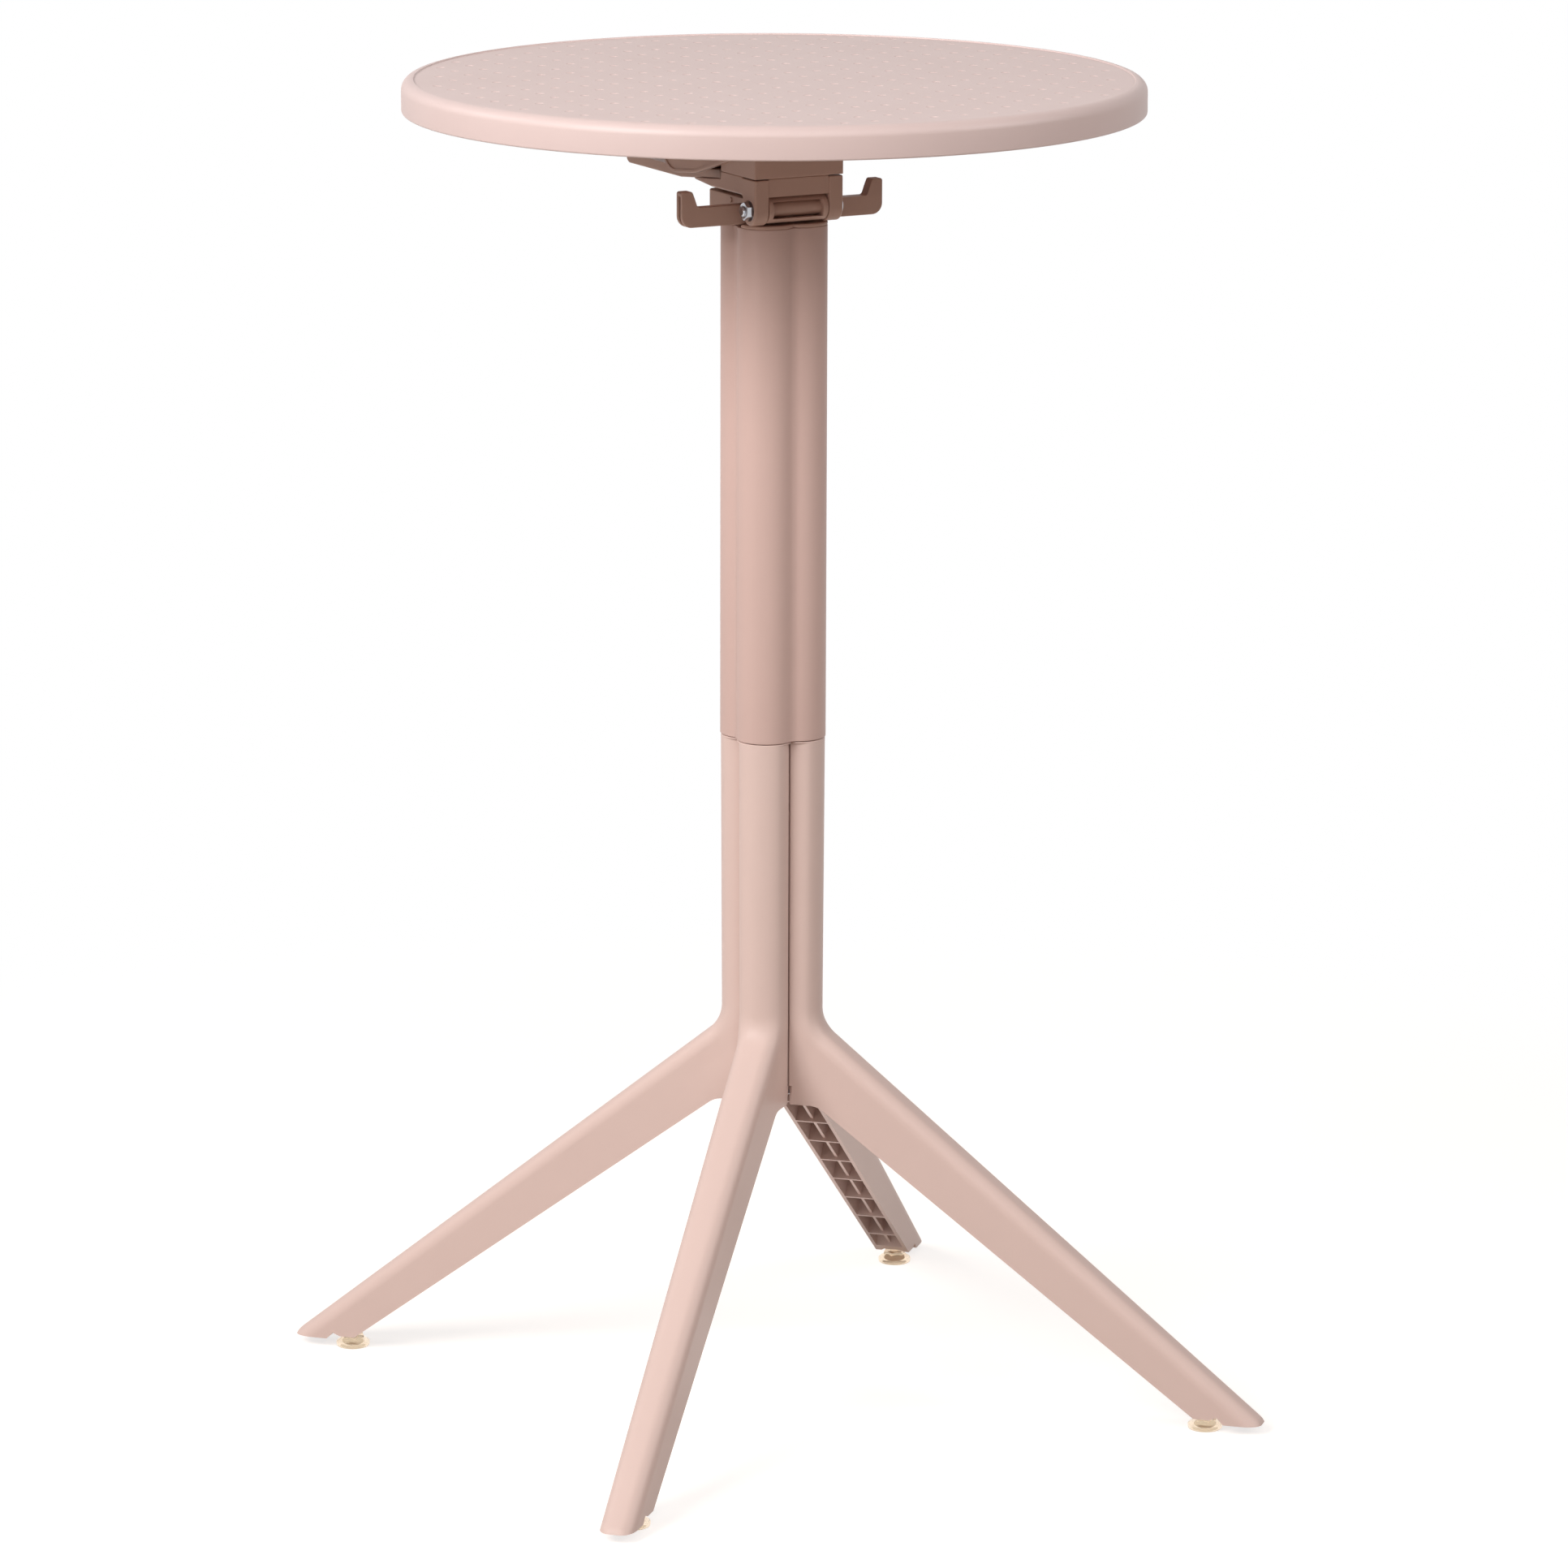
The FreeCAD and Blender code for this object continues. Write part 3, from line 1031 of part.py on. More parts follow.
def make_leg_form():
    lobe = doc.addObject("Part::Cone", "leg_lobe")
    bind(lobe, "Radius1", "hub_lobe_radius")
    bind(lobe, "Radius2", "neck_lobe_radius")
    bind(lobe, "Height", "joint_height - hub_bottom")
    bind(lobe, "Placement.Base.x", "lobe_offset")
    bind(lobe, "Placement.Base.z", "hub_bottom")
    spigot = cylinder("leg_spigot", "column_lobe_radius - column_wall - spigot_clearance",
                      "leg_spigot_length + fuse_depth", ("lobe_offset", "0", "joint_height - fuse_depth"))
    reach = "4 * lobe_offset"
    height = "joint_height + leg_spigot_length"
    step = "(hub_bottom + seam_step_rise)"
    apex = "seam_gap / sqrt(2)"
    sectors = [box("leg_sector_high", (reach, reach, height), (apex, "0", step), (0, 0, 1), "-45"),
               box("leg_sector_low", (reach, reach, "seam_step_rise"), (apex, "seam_step", "hub_bottom"),
                   (0, 0, 1), "-45")]
    quarter = common("leg_quarter", join("leg_neck", [lobe, spigot]), join("leg_sector", sectors))
    outer = join("leg_outer", [quarter, flare_body(), beam_body()])
    core_low = "(hub_bottom + neck_core_start)"
    core_lobe = cylinder("leg_core_lobe", "column_lobe_radius - column_wall - spigot_clearance - spigot_wall",
                         f"{height} + cut_margin - {core_low}", ("lobe_offset", "0", core_low))
    core_sector = box("leg_core_sector", (reach, reach, f"{height} + 2 * cut_margin"),
                      ("neck_core_apex", "0", "0"), (0, 0, 1), "-45")
    core = common("leg_core", core_lobe, core_sector)
    ribs = [box("leg_spine", ("2 * foot_circle", "spine_thickness", f"2 * {BLANK}"),
                (f"hub_edge + spine_recess * sin({UNDER_ANGLE})", "-spine_thickness / 2",
                 f"hub_bottom + spine_recess * cos({UNDER_ANGLE})"), (0, 1, 0), UNDER_ANGLE)]
    for number in range(int(value("rib_count"))):
        place = f"(rib_first + {number} * rib_pitch)"
        near = f"{place} - rib_thickness / 2 * cos({UNDER_ANGLE}) - rib_overhang * sin({UNDER_ANGLE})"
        low = f"{under(place)} + rib_thickness / 2 * sin({UNDER_ANGLE}) - rib_overhang * cos({UNDER_ANGLE})"
        ribs.append(box("leg_rib_%d" % number, ("rib_thickness", f"2 * {BLANK}", f"2 * {BLANK}"),
                        (near, f"-{BLANK}", low), (0, 1, 0), UNDER_ANGLE))
    cells = cut("leg_cells", void_body(), join("leg_ladder", ribs))
    relief = cylinder("leg_rod_relief", "rod_relief", height, ("0", "0", "cut_margin"))
    recess = cylinder("leg_clamp_recess", "clamp_radius + clamp_clearance", "clamp_recess + cut_margin",
                      ("0", "0", "hub_bottom - cut_margin"))
    socket = cylinder("leg_foot_socket", "insert_diameter / 2", "insert_length + insert_headroom",
                      ("foot_circle", "0", "foot_seat_height"))
    bay = cylinder("leg_foot_bay", "foot_bay_radius", "foot_seat_height", ("foot_circle", "0", "0"))
    return cut("leg_form", outer, join("leg_hollows", [core, cells, relief, recess, socket, bay]))


# Screw-in foot: coned flange, hexagon collar and stud
def make_foot_form():
    body = new_body("foot_turning")
    profile = new_sketch(body, "XZ_Plane")
    rim, neck, stud = "foot_flange_diameter / 2", "foot_cone_diameter / 2", "foot_stud_diameter / 2"
    cone_top = "foot_flange_height + foot_cone_height"
    outline(profile, [
        ("0", "0"), (f"{rim} - foot_flange_chamfer", "0"), (rim, "foot_flange_chamfer"),
        (rim, "foot_flange_height"), (neck, cone_top), (stud, cone_top), (stud, "foot_stud_top"),
        ("0", "foot_stud_top")])
    revolve(body, profile)
    collar = hexagon("foot_collar", "foot_collar_across", "foot_collar_height",
                     ("0", "0", "foot_flange_height"))
    return join("foot_form", [body, collar])


def placed(label, form, turn, reach="0"):
    """A copy of a form, carried out along +X and turned about Z."""
    copy = doc.addObject("Part::Compound", label)
    copy.Label = label
    copy.Links = [form]
    direction = FreeCAD.Rotation(FreeCAD.Vector(0, 0, 1), turn)
    copy.Placement = FreeCAD.Placement(FreeCAD.Vector(0, 0, 0), direction)
    bind(copy, "Placement.Base.x", f"{reach} * cos({turn})")
    bind(copy, "Placement.Base.y", f"{reach} * sin({turn})")
    return copy


LEG_TURNS = {"back": 45, "left": 135, "front": 225, "right": 315}
leg_form = make_leg_form()
foot_form = make_foot_form()
insert_form = washer("insert_form", "foot_stud_diameter / 2 + running_clearance", "insert_diameter / 2",
                     "insert_length", ("0", "0", "foot_seat_height"))
pieces = [make_tabletop(), make_carrier_bracket(), make_tilt_yoke(), make_release_lever(), make_lever_pin(),
          make_lever_spring(), make_column_head(), make_rest_pads(), make_hook_bar(), make_upper_column()]
pieces += make_screws() + make_hinge_fasteners() + make_tie_rod()
for side, turn in LEG_TURNS.items():
    pieces.append(placed("leg_" + side, leg_form, turn))
    pieces.append(placed("foot_" + side, foot_form, turn, "foot_circle"))
    pieces.append(placed("foot_insert_" + side, insert_form, turn, "foot_circle"))

doc.recompute()
failed = [item.Name for item in doc.Objects if "Invalid" in item.State or "Error" in item.State]
failed += [item.Label for item in pieces
           if item.Shape.isNull() or not item.Shape.isValid() or not item.Shape.Solids]
if failed:
    raise RuntimeError("not built: " + ", ".join(failed))
os.makedirs("parts", exist_ok=True)
for item in pieces:
    item.Shape.exportStep("parts/%s.step" % item.Label)
    print("%-22s %2d solids %10.1f mm3" % (item.Label, len(item.Shape.Solids), item.Shape.Volume))
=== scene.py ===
import bmesh
import bpy
import math
import numpy as np
from mathutils import Matrix, Vector
from mathutils.geometry import delaunay_2d_cdt


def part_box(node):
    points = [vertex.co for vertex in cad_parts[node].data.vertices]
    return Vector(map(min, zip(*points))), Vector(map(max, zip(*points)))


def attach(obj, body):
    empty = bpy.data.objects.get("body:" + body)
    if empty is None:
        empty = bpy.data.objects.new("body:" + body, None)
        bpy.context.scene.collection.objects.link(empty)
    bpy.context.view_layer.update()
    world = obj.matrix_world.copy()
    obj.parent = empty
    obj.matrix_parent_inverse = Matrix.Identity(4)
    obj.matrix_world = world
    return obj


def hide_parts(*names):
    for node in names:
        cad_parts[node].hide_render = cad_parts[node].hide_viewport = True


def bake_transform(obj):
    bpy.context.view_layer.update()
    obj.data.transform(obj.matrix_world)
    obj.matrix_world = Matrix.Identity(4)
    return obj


# Outdoor bar table: fine forms and finishes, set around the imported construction.
# Metres, +Z up, origin on the floor under the column. The legs point along the diagonals.
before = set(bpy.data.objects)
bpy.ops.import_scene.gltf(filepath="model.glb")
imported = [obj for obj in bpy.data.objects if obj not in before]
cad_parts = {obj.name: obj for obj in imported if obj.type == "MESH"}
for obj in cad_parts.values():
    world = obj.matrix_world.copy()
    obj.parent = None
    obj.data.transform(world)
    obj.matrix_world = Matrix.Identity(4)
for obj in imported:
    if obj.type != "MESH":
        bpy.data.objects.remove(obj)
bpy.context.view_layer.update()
scene = bpy.context.scene

# Shared values. Points closer than NEAR are one. The steps are those of short arcs and of full turns.
MM = 0.001
NEAR = 1e-6
SHARP = math.radians(32)
FLAT = math.radians(1)
SOFT_SEGMENTS = 3
ARC_STEPS = 6
PIN_STEPS = 24
SCREW_STEPS = 32
SOCKET_STEPS = 40
BOLT_STEPS = 48
BORE_STEPS = 64
PLATE_STEPS = 96
LEG_TURNS = {"back": 45, "left": 135, "front": 225, "right": 315}


# Meshes
def plain_object(name, mesh):
    item = bpy.data.objects.new(name, mesh)
    scene.collection.objects.link(item)
    return item


def evaluated_mesh(item, name):
    """The object's mesh with its modifiers worked in."""
    bpy.context.view_layer.update()
    graph = bpy.context.evaluated_depsgraph_get()
    mesh = bpy.data.meshes.new_from_object(item.evaluated_get(graph), depsgraph=graph)
    mesh.name = name
    return mesh


def mesh_from(name, points, faces):
    mesh = bpy.data.meshes.new(name)
    mesh.from_pydata([tuple(point) for point in points], [], faces)
    mesh.update()
    return mesh


def tidied(mesh, near=NEAR):
    """Merge doubles and turn the faces outwards."""
    work = bmesh.new()
    work.from_mesh(mesh)
    bmesh.ops.remove_doubles(work, verts=work.verts, dist=near)
    bmesh.ops.recalc_face_normals(work, faces=work.faces)
    work.to_mesh(mesh)
    work.free()
    return mesh


def moved(mesh, matrix):
    copy = mesh.copy()
    copy.transform(matrix)
    return copy


def lofted(name, rings):
    """Closed skin through rings of equally many points."""
    count = len(rings[0])
    points = [point for ring in rings for point in ring]
    faces = []
    for row in range(len(rings) - 1):
        for number in range(count):
            here, beside = row * count + number, row * count + (number + 1) % count
            faces.append((here, beside, beside + count, here + count))
    faces.append(tuple(range(count)))
    faces.append(tuple(range(len(points) - count, len(points))))
    return tidied(mesh_from(name, points, faces))


def prism(name, outline, low, high, axis="Z"):
    """A flat outline drawn out along an axis. On Y the outline is (x, z), on X it is (y, z)."""
    place = {"Z": lambda a, b, c: (a, b, c),
             "Y": lambda a, b, c: (a, c, b),
             "X": lambda a, b, c: (c, a, b)}[axis]
    return lofted(name, [[place(a, b, level) for a, b in outline] for level in (low, high)])


def arc(centre, radius, start, stop, steps):
    """Points on an arc, from one angle in degrees to another."""
    angles = [math.radians(start + (stop - start) * step / steps) for step in range(steps + 1)]
    return [(centre[0] + radius * math.cos(turn), centre[1] + radius * math.sin(turn)) for turn in angles]


def circle(centre, radius, steps):
    return arc(centre, radius, 0, 360 * (steps - 1) / steps, steps - 1)


def bar(name, centre, radius, low, high, steps):
    """A round bar along Z."""
    return prism(name, circle(centre, radius, steps), low, high)


def turned(profile, segments):
    """Points and faces of a profile of (radius, height) turned about Z. A radius of zero closes to a pole."""
    points, rows, faces = [], [], []
    for radius, height in profile:
        if radius == 0:
            rows.append([len(points)] * segments)
            points.append((0, 0, height))
        else:
            rows.append([len(points) + number for number in range(segments)])
            points += [(across, along, height) for across, along in circle((0, 0), radius, segments)]
    for low, high in zip(rows, rows[1:]):
        for number in range(segments):
            beside = (number + 1) % segments
            faces.append(tuple(dict.fromkeys((low[number], low[beside], high[beside], high[number]))))
    return points, faces


def turned_mesh(name, profile, segments):
    return tidied(mesh_from(name, *turned(profile, segments)))


def carved(mesh, tools, operation="DIFFERENCE"):
    """The mesh after each tool in turn is cut from it, joined to it or shared with it."""
    item = plain_object("carving", mesh)
    helpers = [plain_object("carving_tool", tool) for tool in tools]
    for helper in helpers:
        modifier = item.modifiers.new("carve", "BOOLEAN")
        modifier.operation = operation
        modifier.solver = "MANIFOLD"
        modifier.object = helper
    result = evaluated_mesh(item, mesh.name)
    for helper in helpers + [item]:
        bpy.data.objects.remove(helper)
    return result


def smoothed(mesh):
    for polygon in mesh.polygons:
        polygon.use_smooth = True
    mesh.set_sharp_from_angle(angle=SHARP)
    return mesh


def has_room(edge, width):
    """Whether an edge can be rounded: not round the mouth of a hole, nor beside a face too narrow for it."""
    start = edge.verts[0].co
    run = (edge.verts[1].co - start).normalized()
    for face in edge.link_faces:
        offsets = [vertex.co - start for vertex in face.verts]
        if max((offset - run * offset.dot(run)).length for offset in offsets) < 2 * width:
            return False
        for other in face.edges:
            if not other.is_convex and FLAT < other.calc_face_angle(0) < SHARP:
                return False
    return True


def softened(node, width, core):
    """A copy of a construction mesh with its outward edges rounded, apart from those in a core round Z."""
    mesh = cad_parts[node].data.copy()
    work = bmesh.new()
    work.from_mesh(mesh)
    bmesh.ops.remove_doubles(work, verts=work.verts, dist=NEAR)
    bmesh.ops.dissolve_limit(work, angle_limit=FLAT, verts=work.verts, edges=work.edges)
    weight = work.edges.layers.float.new("bevel_weight_edge")
    for edge in work.edges:
        outside = max(vertex.co.xy.length for vertex in edge.verts) > core
        if outside and edge.is_convex and edge.calc_face_angle(0) > SHARP and has_room(edge, width):
            edge[weight] = 1
    work.to_mesh(mesh)
    work.free()
    item = plain_object("softening", mesh)
    modifier = item.modifiers.new("round", "BEVEL")
    modifier.width = width
    modifier.segments = SOFT_SEGMENTS
    modifier.limit_method = "WEIGHT"
    modifier.use_clamp_overlap = False
    item.data = smoothed(evaluated_mesh(item, node))
    item.modifiers.remove(modifier)
    even = item.modifiers.new("even", "WEIGHTED_NORMAL")
    even.keep_sharp = True
    result = evaluated_mesh(item, node)
    bpy.data.objects.remove(item)
    return result


def dressed(name, mesh, finish, node):
    """Place a mesh as a piece that stands for a construction node."""
    mesh.materials.clear()
    mesh.materials.append(finish)
    mesh.polygons.foreach_set("material_index", [0] * len(mesh.polygons))
    piece = plain_object(name, mesh)
    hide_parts(node)
    return piece


def finished(name, mesh, finish, body, node):
    """Place a mesh as a piece that rides on a body and stands for a construction node."""
    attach(dressed(name, mesh, finish, node), body)


# Node trees
def add_node(tree, kind, settings=None, inputs=None):
    item = tree.nodes.new(kind)
    for name, value in (settings or {}).items():
        setattr(item, name, value)
    for key, value in (inputs or {}).items():
        if isinstance(value, bpy.types.NodeSocket):
            tree.links.new(value, item.inputs[key])
        else:
            item.inputs[key].default_value = value
    return item


def sum_node(tree, operation, first, second):
    return add_node(tree, "ShaderNodeMath", {"operation": operation}, {0: first, 1: second}).outputs[0]


def new_group(kind, name, inputs, outputs):
    """A node tree with named inputs and outputs, and its two end nodes."""
    tree = bpy.data.node_groups.new(name, kind)
    for label, socket in inputs:
        tree.interface.new_socket(label, in_out="INPUT", socket_type="NodeSocket" + socket)
    for label, socket in outputs:
        tree.interface.new_socket(label, in_out="OUTPUT", socket_type="NodeSocket" + socket)
    return tree, tree.nodes.new("NodeGroupInput").outputs, tree.nodes.new("NodeGroupOutput").inputs


def new_growth(name, inputs):
    return new_group("GeometryNodeTree", name, [("Geometry", "Geometry")] + inputs + [("Finish", "Material")],
                     [("Geometry", "Geometry")])


def close_growth(tree, given, out, geometry):
    real = add_node(tree, "GeometryNodeRealizeInstances", inputs={"Geometry": geometry})
    coated = add_node(tree, "GeometryNodeSetMaterial",
                      inputs={"Geometry": real.outputs[0], "Material": given["Finish"]})
    tree.links.new(coated.outputs[0], out["Geometry"])
    return tree


def copies_of(tree, shape, points, **more):
    source = add_node(tree, "GeometryNodeObjectInfo", inputs={"Object": shape})
    inputs = {"Points": points, "Instance": source.outputs["Geometry"]}
    inputs.update(more)
    return add_node(tree, "GeometryNodeInstanceOnPoints", inputs=inputs).outputs[0]


def grown(tree, name, values, host=None):
    """The plain mesh that a tree makes on a host mesh. Meshes among the values become shapes to copy."""
    carrier = plain_object(name, host or bpy.data.meshes.new(name))
    shapes = []
    modifier = carrier.modifiers.new(name, "NODES")
    modifier.node_group = tree
    for socket in tree.interface.items_tree:
        if socket.in_out == "INPUT" and socket.name in values:
            value = values[socket.name]
            if isinstance(value, bpy.types.Mesh):
                value = plain_object(name + "_shape", value)
                shapes.append(value)
            modifier[socket.identifier] = value
    mesh = evaluated_mesh(carrier, name)
    for item in shapes + [carrier]:
        bpy.data.objects.remove(item)
    return mesh


def dimple_tree():
    """A square grid of bowls, kept inside a circle."""
    tree, given, out = new_growth("dimple_grid", [
        ("Pitch", "Float"), ("Rows", "Int"), ("Reach", "Float"), ("Height", "Float"), ("Bowl", "Object")])
    side = sum_node(tree, "MULTIPLY", given["Pitch"], sum_node(tree, "SUBTRACT", given["Rows"], 1))
    grid = add_node(tree, "GeometryNodeMeshGrid", inputs={
        "Size X": side, "Size Y": side, "Vertices X": given["Rows"], "Vertices Y": given["Rows"]})
    place = add_node(tree, "GeometryNodeInputPosition")
    far = add_node(tree, "ShaderNodeVectorMath", {"operation": "LENGTH"}, {0: place.outputs[0]})
    outside = add_node(tree, "FunctionNodeCompare", {"operation": "GREATER_THAN"},
                       {"A": far.outputs["Value"], "B": given["Reach"]})
    kept = add_node(tree, "GeometryNodeDeleteGeometry", {"domain": "POINT"},
                    {"Geometry": grid.outputs[0], "Selection": outside.outputs[0]})
    lift = add_node(tree, "ShaderNodeCombineXYZ", inputs={"Z": given["Height"]})
    raised = add_node(tree, "GeometryNodeTransform", inputs={
        "Geometry": kept.outputs[0], "Translation": lift.outputs[0]})
    return close_growth(tree, given, out, copies_of(tree, given["Bowl"], raised.outputs[0]))


def wheel_tree():
    """Copies of a shape, turned evenly about Z."""
    tree, given, out = new_growth("rib_wheel", [("Count", "Int"), ("Rib", "Object")])
    line = add_node(tree, "GeometryNodeMeshLine", inputs={"Count": given["Count"], "Offset": (0, 0, 0)})
    number = add_node(tree, "GeometryNodeInputIndex")
    step = sum_node(tree, "DIVIDE", math.tau, given["Count"])
    turn = add_node(tree, "ShaderNodeCombineXYZ", inputs={
        "Z": sum_node(tree, "MULTIPLY", number.outputs[0], step)})
    spun = add_node(tree, "FunctionNodeEulerToRotation", inputs={0: turn.outputs[0]})
    return close_growth(tree, given, out,
                        copies_of(tree, given["Rib"], line.outputs[0], Rotation=spun.outputs[0]))


def row_tree():
    """Copies of a shape along a straight line."""
    tree, given, out = new_growth("rung_row", [
        ("Count", "Int"), ("First", "Vector"), ("Step", "Vector"), ("Rung", "Object")])
    line = add_node(tree, "GeometryNodeMeshLine", inputs={
        "Count": given["Count"], "Start Location": given["First"], "Offset": given["Step"]})
    return close_growth(tree, given, out, copies_of(tree, given["Rung"], line.outputs[0]))


def place_tree():
    """A copy of a shape at each point of the host mesh."""
    tree, given, out = new_growth("screw_set", [("Screw", "Object")])
    return close_growth(tree, given, out, copies_of(tree, given["Screw"], given["Geometry"]))


COIL_STEPS = 20
RIDGE_SIDES = 4


def thread_tree():
    """A screw thread: a ridge that winds up round Z."""
    tree, given, out = new_growth("thread_coil", [
        ("Radius", "Float"), ("Turns", "Float"), ("Length", "Float"), ("Ridge", "Float")])
    coil = add_node(tree, "GeometryNodeCurveSpiral", inputs={
        "Resolution": COIL_STEPS, "Rotations": given["Turns"], "Start Radius": given["Radius"],
        "End Radius": given["Radius"], "Height": given["Length"]})
    ridge = add_node(tree, "GeometryNodeCurvePrimitiveCircle", inputs={
        "Resolution": RIDGE_SIDES, "Radius": given["Ridge"]})
    wound = add_node(tree, "GeometryNodeCurveToMesh", inputs={
        "Curve": coil.outputs[0], "Profile Curve": ridge.outputs[0], "Fill Caps": True})
    return close_growth(tree, given, out, wound.outputs[0])


DIMPLES = dimple_tree()
WHEEL = wheel_tree()
ROW = row_tree()
PLACES = place_tree()
THREAD = thread_tree()


# Finishes
GRAIN_SHARE = 0.4
NOISE_MEAN = 0.5


def grain_group():
    """Fine grain, drifting colour and uneven gloss, which every finish uses in its own measure."""
    tree, given, out = new_group("ShaderNodeTree", "surface_grain", [
        ("Place", "Vector"), ("Colour", "Color"), ("Shade", "Color"), ("Grain Scale", "Float"),
        ("Cloud Scale", "Float"), ("Gloss", "Float"), ("Gloss Spread", "Float")],
        [("Colour", "Color"), ("Roughness", "Float"), ("Height", "Float")])
    grain = add_node(tree, "ShaderNodeTexNoise", inputs={
        "Vector": given["Place"], "Scale": given["Grain Scale"], "Detail": 3.0, "Roughness": 0.6})
    cloud = add_node(tree, "ShaderNodeTexNoise", inputs={
        "Vector": given["Place"], "Scale": given["Cloud Scale"], "Detail": 2.0, "Roughness": 0.5})
    both = sum_node(tree, "ADD", sum_node(tree, "MULTIPLY", grain.outputs[0], GRAIN_SHARE),
                    sum_node(tree, "MULTIPLY", cloud.outputs[0], 1 - GRAIN_SHARE))
    mixed = add_node(tree, "ShaderNodeMix", {"data_type": "RGBA"}, {
        "Factor": both, 6: given["Colour"], 7: given["Shade"]})
    drift = sum_node(tree, "MULTIPLY", given["Gloss Spread"],
                     sum_node(tree, "SUBTRACT", cloud.outputs[0], NOISE_MEAN))
    tree.links.new(mixed.outputs[2], out["Colour"])
    tree.links.new(sum_node(tree, "ADD", given["Gloss"], drift), out["Roughness"])
    tree.links.new(grain.outputs[0], out["Height"])
    return tree


GRAIN = grain_group()


def linear(red, green, blue):
    """A colour given in screen values from 0 to 255."""
    def straight(level):
        level /= 255
        return level / 12.92 if level <= 0.04045 else ((level + 0.055) / 1.055) ** 2.4
    return (straight(red), straight(green), straight(blue), 1)


def new_finish(name, colour, shade, grain, cloud, gloss, spread, bump, plain=None):
    """A material of the shared grain. bump is the depth of the grain, plain holds constants of the shader."""
    material = bpy.data.materials.new(name)
    material.use_nodes = True
    tree = material.node_tree
    shader = tree.nodes["Principled BSDF"]
    place = add_node(tree, "ShaderNodeTexCoord")
    surface = add_node(tree, "ShaderNodeGroup", {"node_tree": GRAIN}, {
        "Place": place.outputs["Object"], "Colour": colour, "Shade": shade, "Grain Scale": 1 / grain,
        "Cloud Scale": 1 / cloud, "Gloss": gloss, "Gloss Spread": spread})
    rise = add_node(tree, "ShaderNodeBump", inputs={
        "Strength": 1.0, "Distance": bump, "Height": surface.outputs["Height"]})
    tree.links.new(surface.outputs["Colour"], shader.inputs["Base Color"])
    tree.links.new(surface.outputs["Roughness"], shader.inputs["Roughness"])
    tree.links.new(rise.outputs[0], shader.inputs["Normal"])
    for socket, value in (plain or {}).items():
        shader.inputs[socket].default_value = value
    return material


RESIN_TOP = new_finish("taupe_resin_top", linear(212, 189, 184), linear(206, 183, 178),
                       0.7 * MM, 60 * MM, 0.47, 0.06, 0.02 * MM, {"Specular IOR Level": 0.6})
RESIN_FRAME = new_finish("taupe_resin_frame", linear(216, 190, 181), linear(210, 184, 175),
                         0.6 * MM, 70 * MM, 0.42, 0.06, 0.025 * MM, {"Specular IOR Level": 0.25})
# Painted shade: the frame's resin made slightly darker for the column tube, standing in for the shade under
# the top
SHADED_RESIN_COLUMN = new_finish("taupe_resin_column", linear(208, 178, 169), linear(202, 172, 163),
                          0.6 * MM, 90 * MM, 0.42, 0.06, 0.02 * MM, {"Specular IOR Level": 0.2})
# Painted shade: the frame's resin made darker and browner for the hinge head, standing in for the shadow
# under the top
SHADED_RESIN_HEAD = new_finish("taupe_resin_head", linear(194, 161, 147), linear(188, 155, 141),
                        0.6 * MM, 50 * MM, 0.40, 0.06, 0.025 * MM, {"Specular IOR Level": 0.15})
ZINC = new_finish("bright_zinc", linear(205, 206, 210), linear(168, 170, 176),
                  0.8 * MM, 6 * MM, 0.24, 0.12, 0.01 * MM, {"Metallic": 1.0})
SPRING_STEEL = new_finish("spring_steel", linear(120, 122, 128), linear(92, 94, 100),
                          1.2 * MM, 12 * MM, 0.34, 0.12, 0.01 * MM, {"Metallic": 1.0})
RUBBER = new_finish("pad_rubber", linear(52, 48, 46), linear(40, 37, 36),
                    0.5 * MM, 8 * MM, 0.72, 0.08, 0.03 * MM)
BRASS = new_finish("insert_brass", linear(196, 164, 96), linear(160, 128, 70),
                   0.8 * MM, 5 * MM, 0.32, 0.1, 0.01 * MM, {"Metallic": 1.0})
CLEAR_RESIN = new_finish("clear_yellowed_resin", linear(240, 222, 196), linear(230, 206, 172),
                         1.5 * MM, 9 * MM, 0.18, 0.08, 0.02 * MM,
                         {"Transmission Weight": 0.92, "IOR": 1.49})

# Tabletop
top_low, top_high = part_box("tabletop")
TOP_RADIUS = top_high.x
CREST = top_high.z
RIM_LOW = top_low.z
FIELD = CREST - 1 * MM
DECK_UNDER = FIELD - 4.5 * MM
RIM_WALL = 3.5 * MM
RIM_LAND = 10.3 * MM
RIM_ROUND = 9 * MM
RIM_LIP = 1.6 * MM
RIM_INNER_LIP = 0.8 * MM
# The step up to the rim, outwards and up, in shares of its rise
RIM_STEP = [(0, 0), (0.25, 0.1), (0.6, 0.9), (0.85, 1)]
RIM_NEAR = 0.02 * MM
RIM_SEGMENTS = 288
NOSE_STEPS = 14
INNER_LIP_STEPS = 4
DECK_CORNER = 3 * MM
# Upward part of the normal of a face that counts as level, and of one that leans
LEVEL = 0.99999
LEANING = 0.9995
DIMPLE_PITCH = 25.8 * MM
DIMPLE_REACH = 277 * MM
DIMPLE_SEGMENTS = 16
DIMPLE_PROFILE = [(3.6 * MM, 0), (3.3 * MM, -0.2 * MM), (2.5 * MM, -0.54 * MM), (1.3 * MM, -0.77 * MM),
                  (0, -0.84 * MM)]
RIB_THICKNESS = 2.5 * MM
RIB_DEPTH = 12 * MM
RIB_EDGE = 0.8 * MM
RIB_COUNT = 16
RING_RADII = (112 * MM, 200 * MM)
BOSS_RADIUS = 7 * MM
BOSS_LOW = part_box("carrier_bracket")[1].z
BOSS_ASIDE = 50 * MM
BOSS_FIRST = -45 * MM
BOSS_PITCH = 77.5 * MM
BOSS_PLACES = [(side * BOSS_ASIDE, BOSS_FIRST + row * BOSS_PITCH) for side in (-1, 1) for row in range(3)]
PILOT_RADIUS = 2 * MM
PILOT_DEPTH = 12 * MM
FUSE = 2 * MM


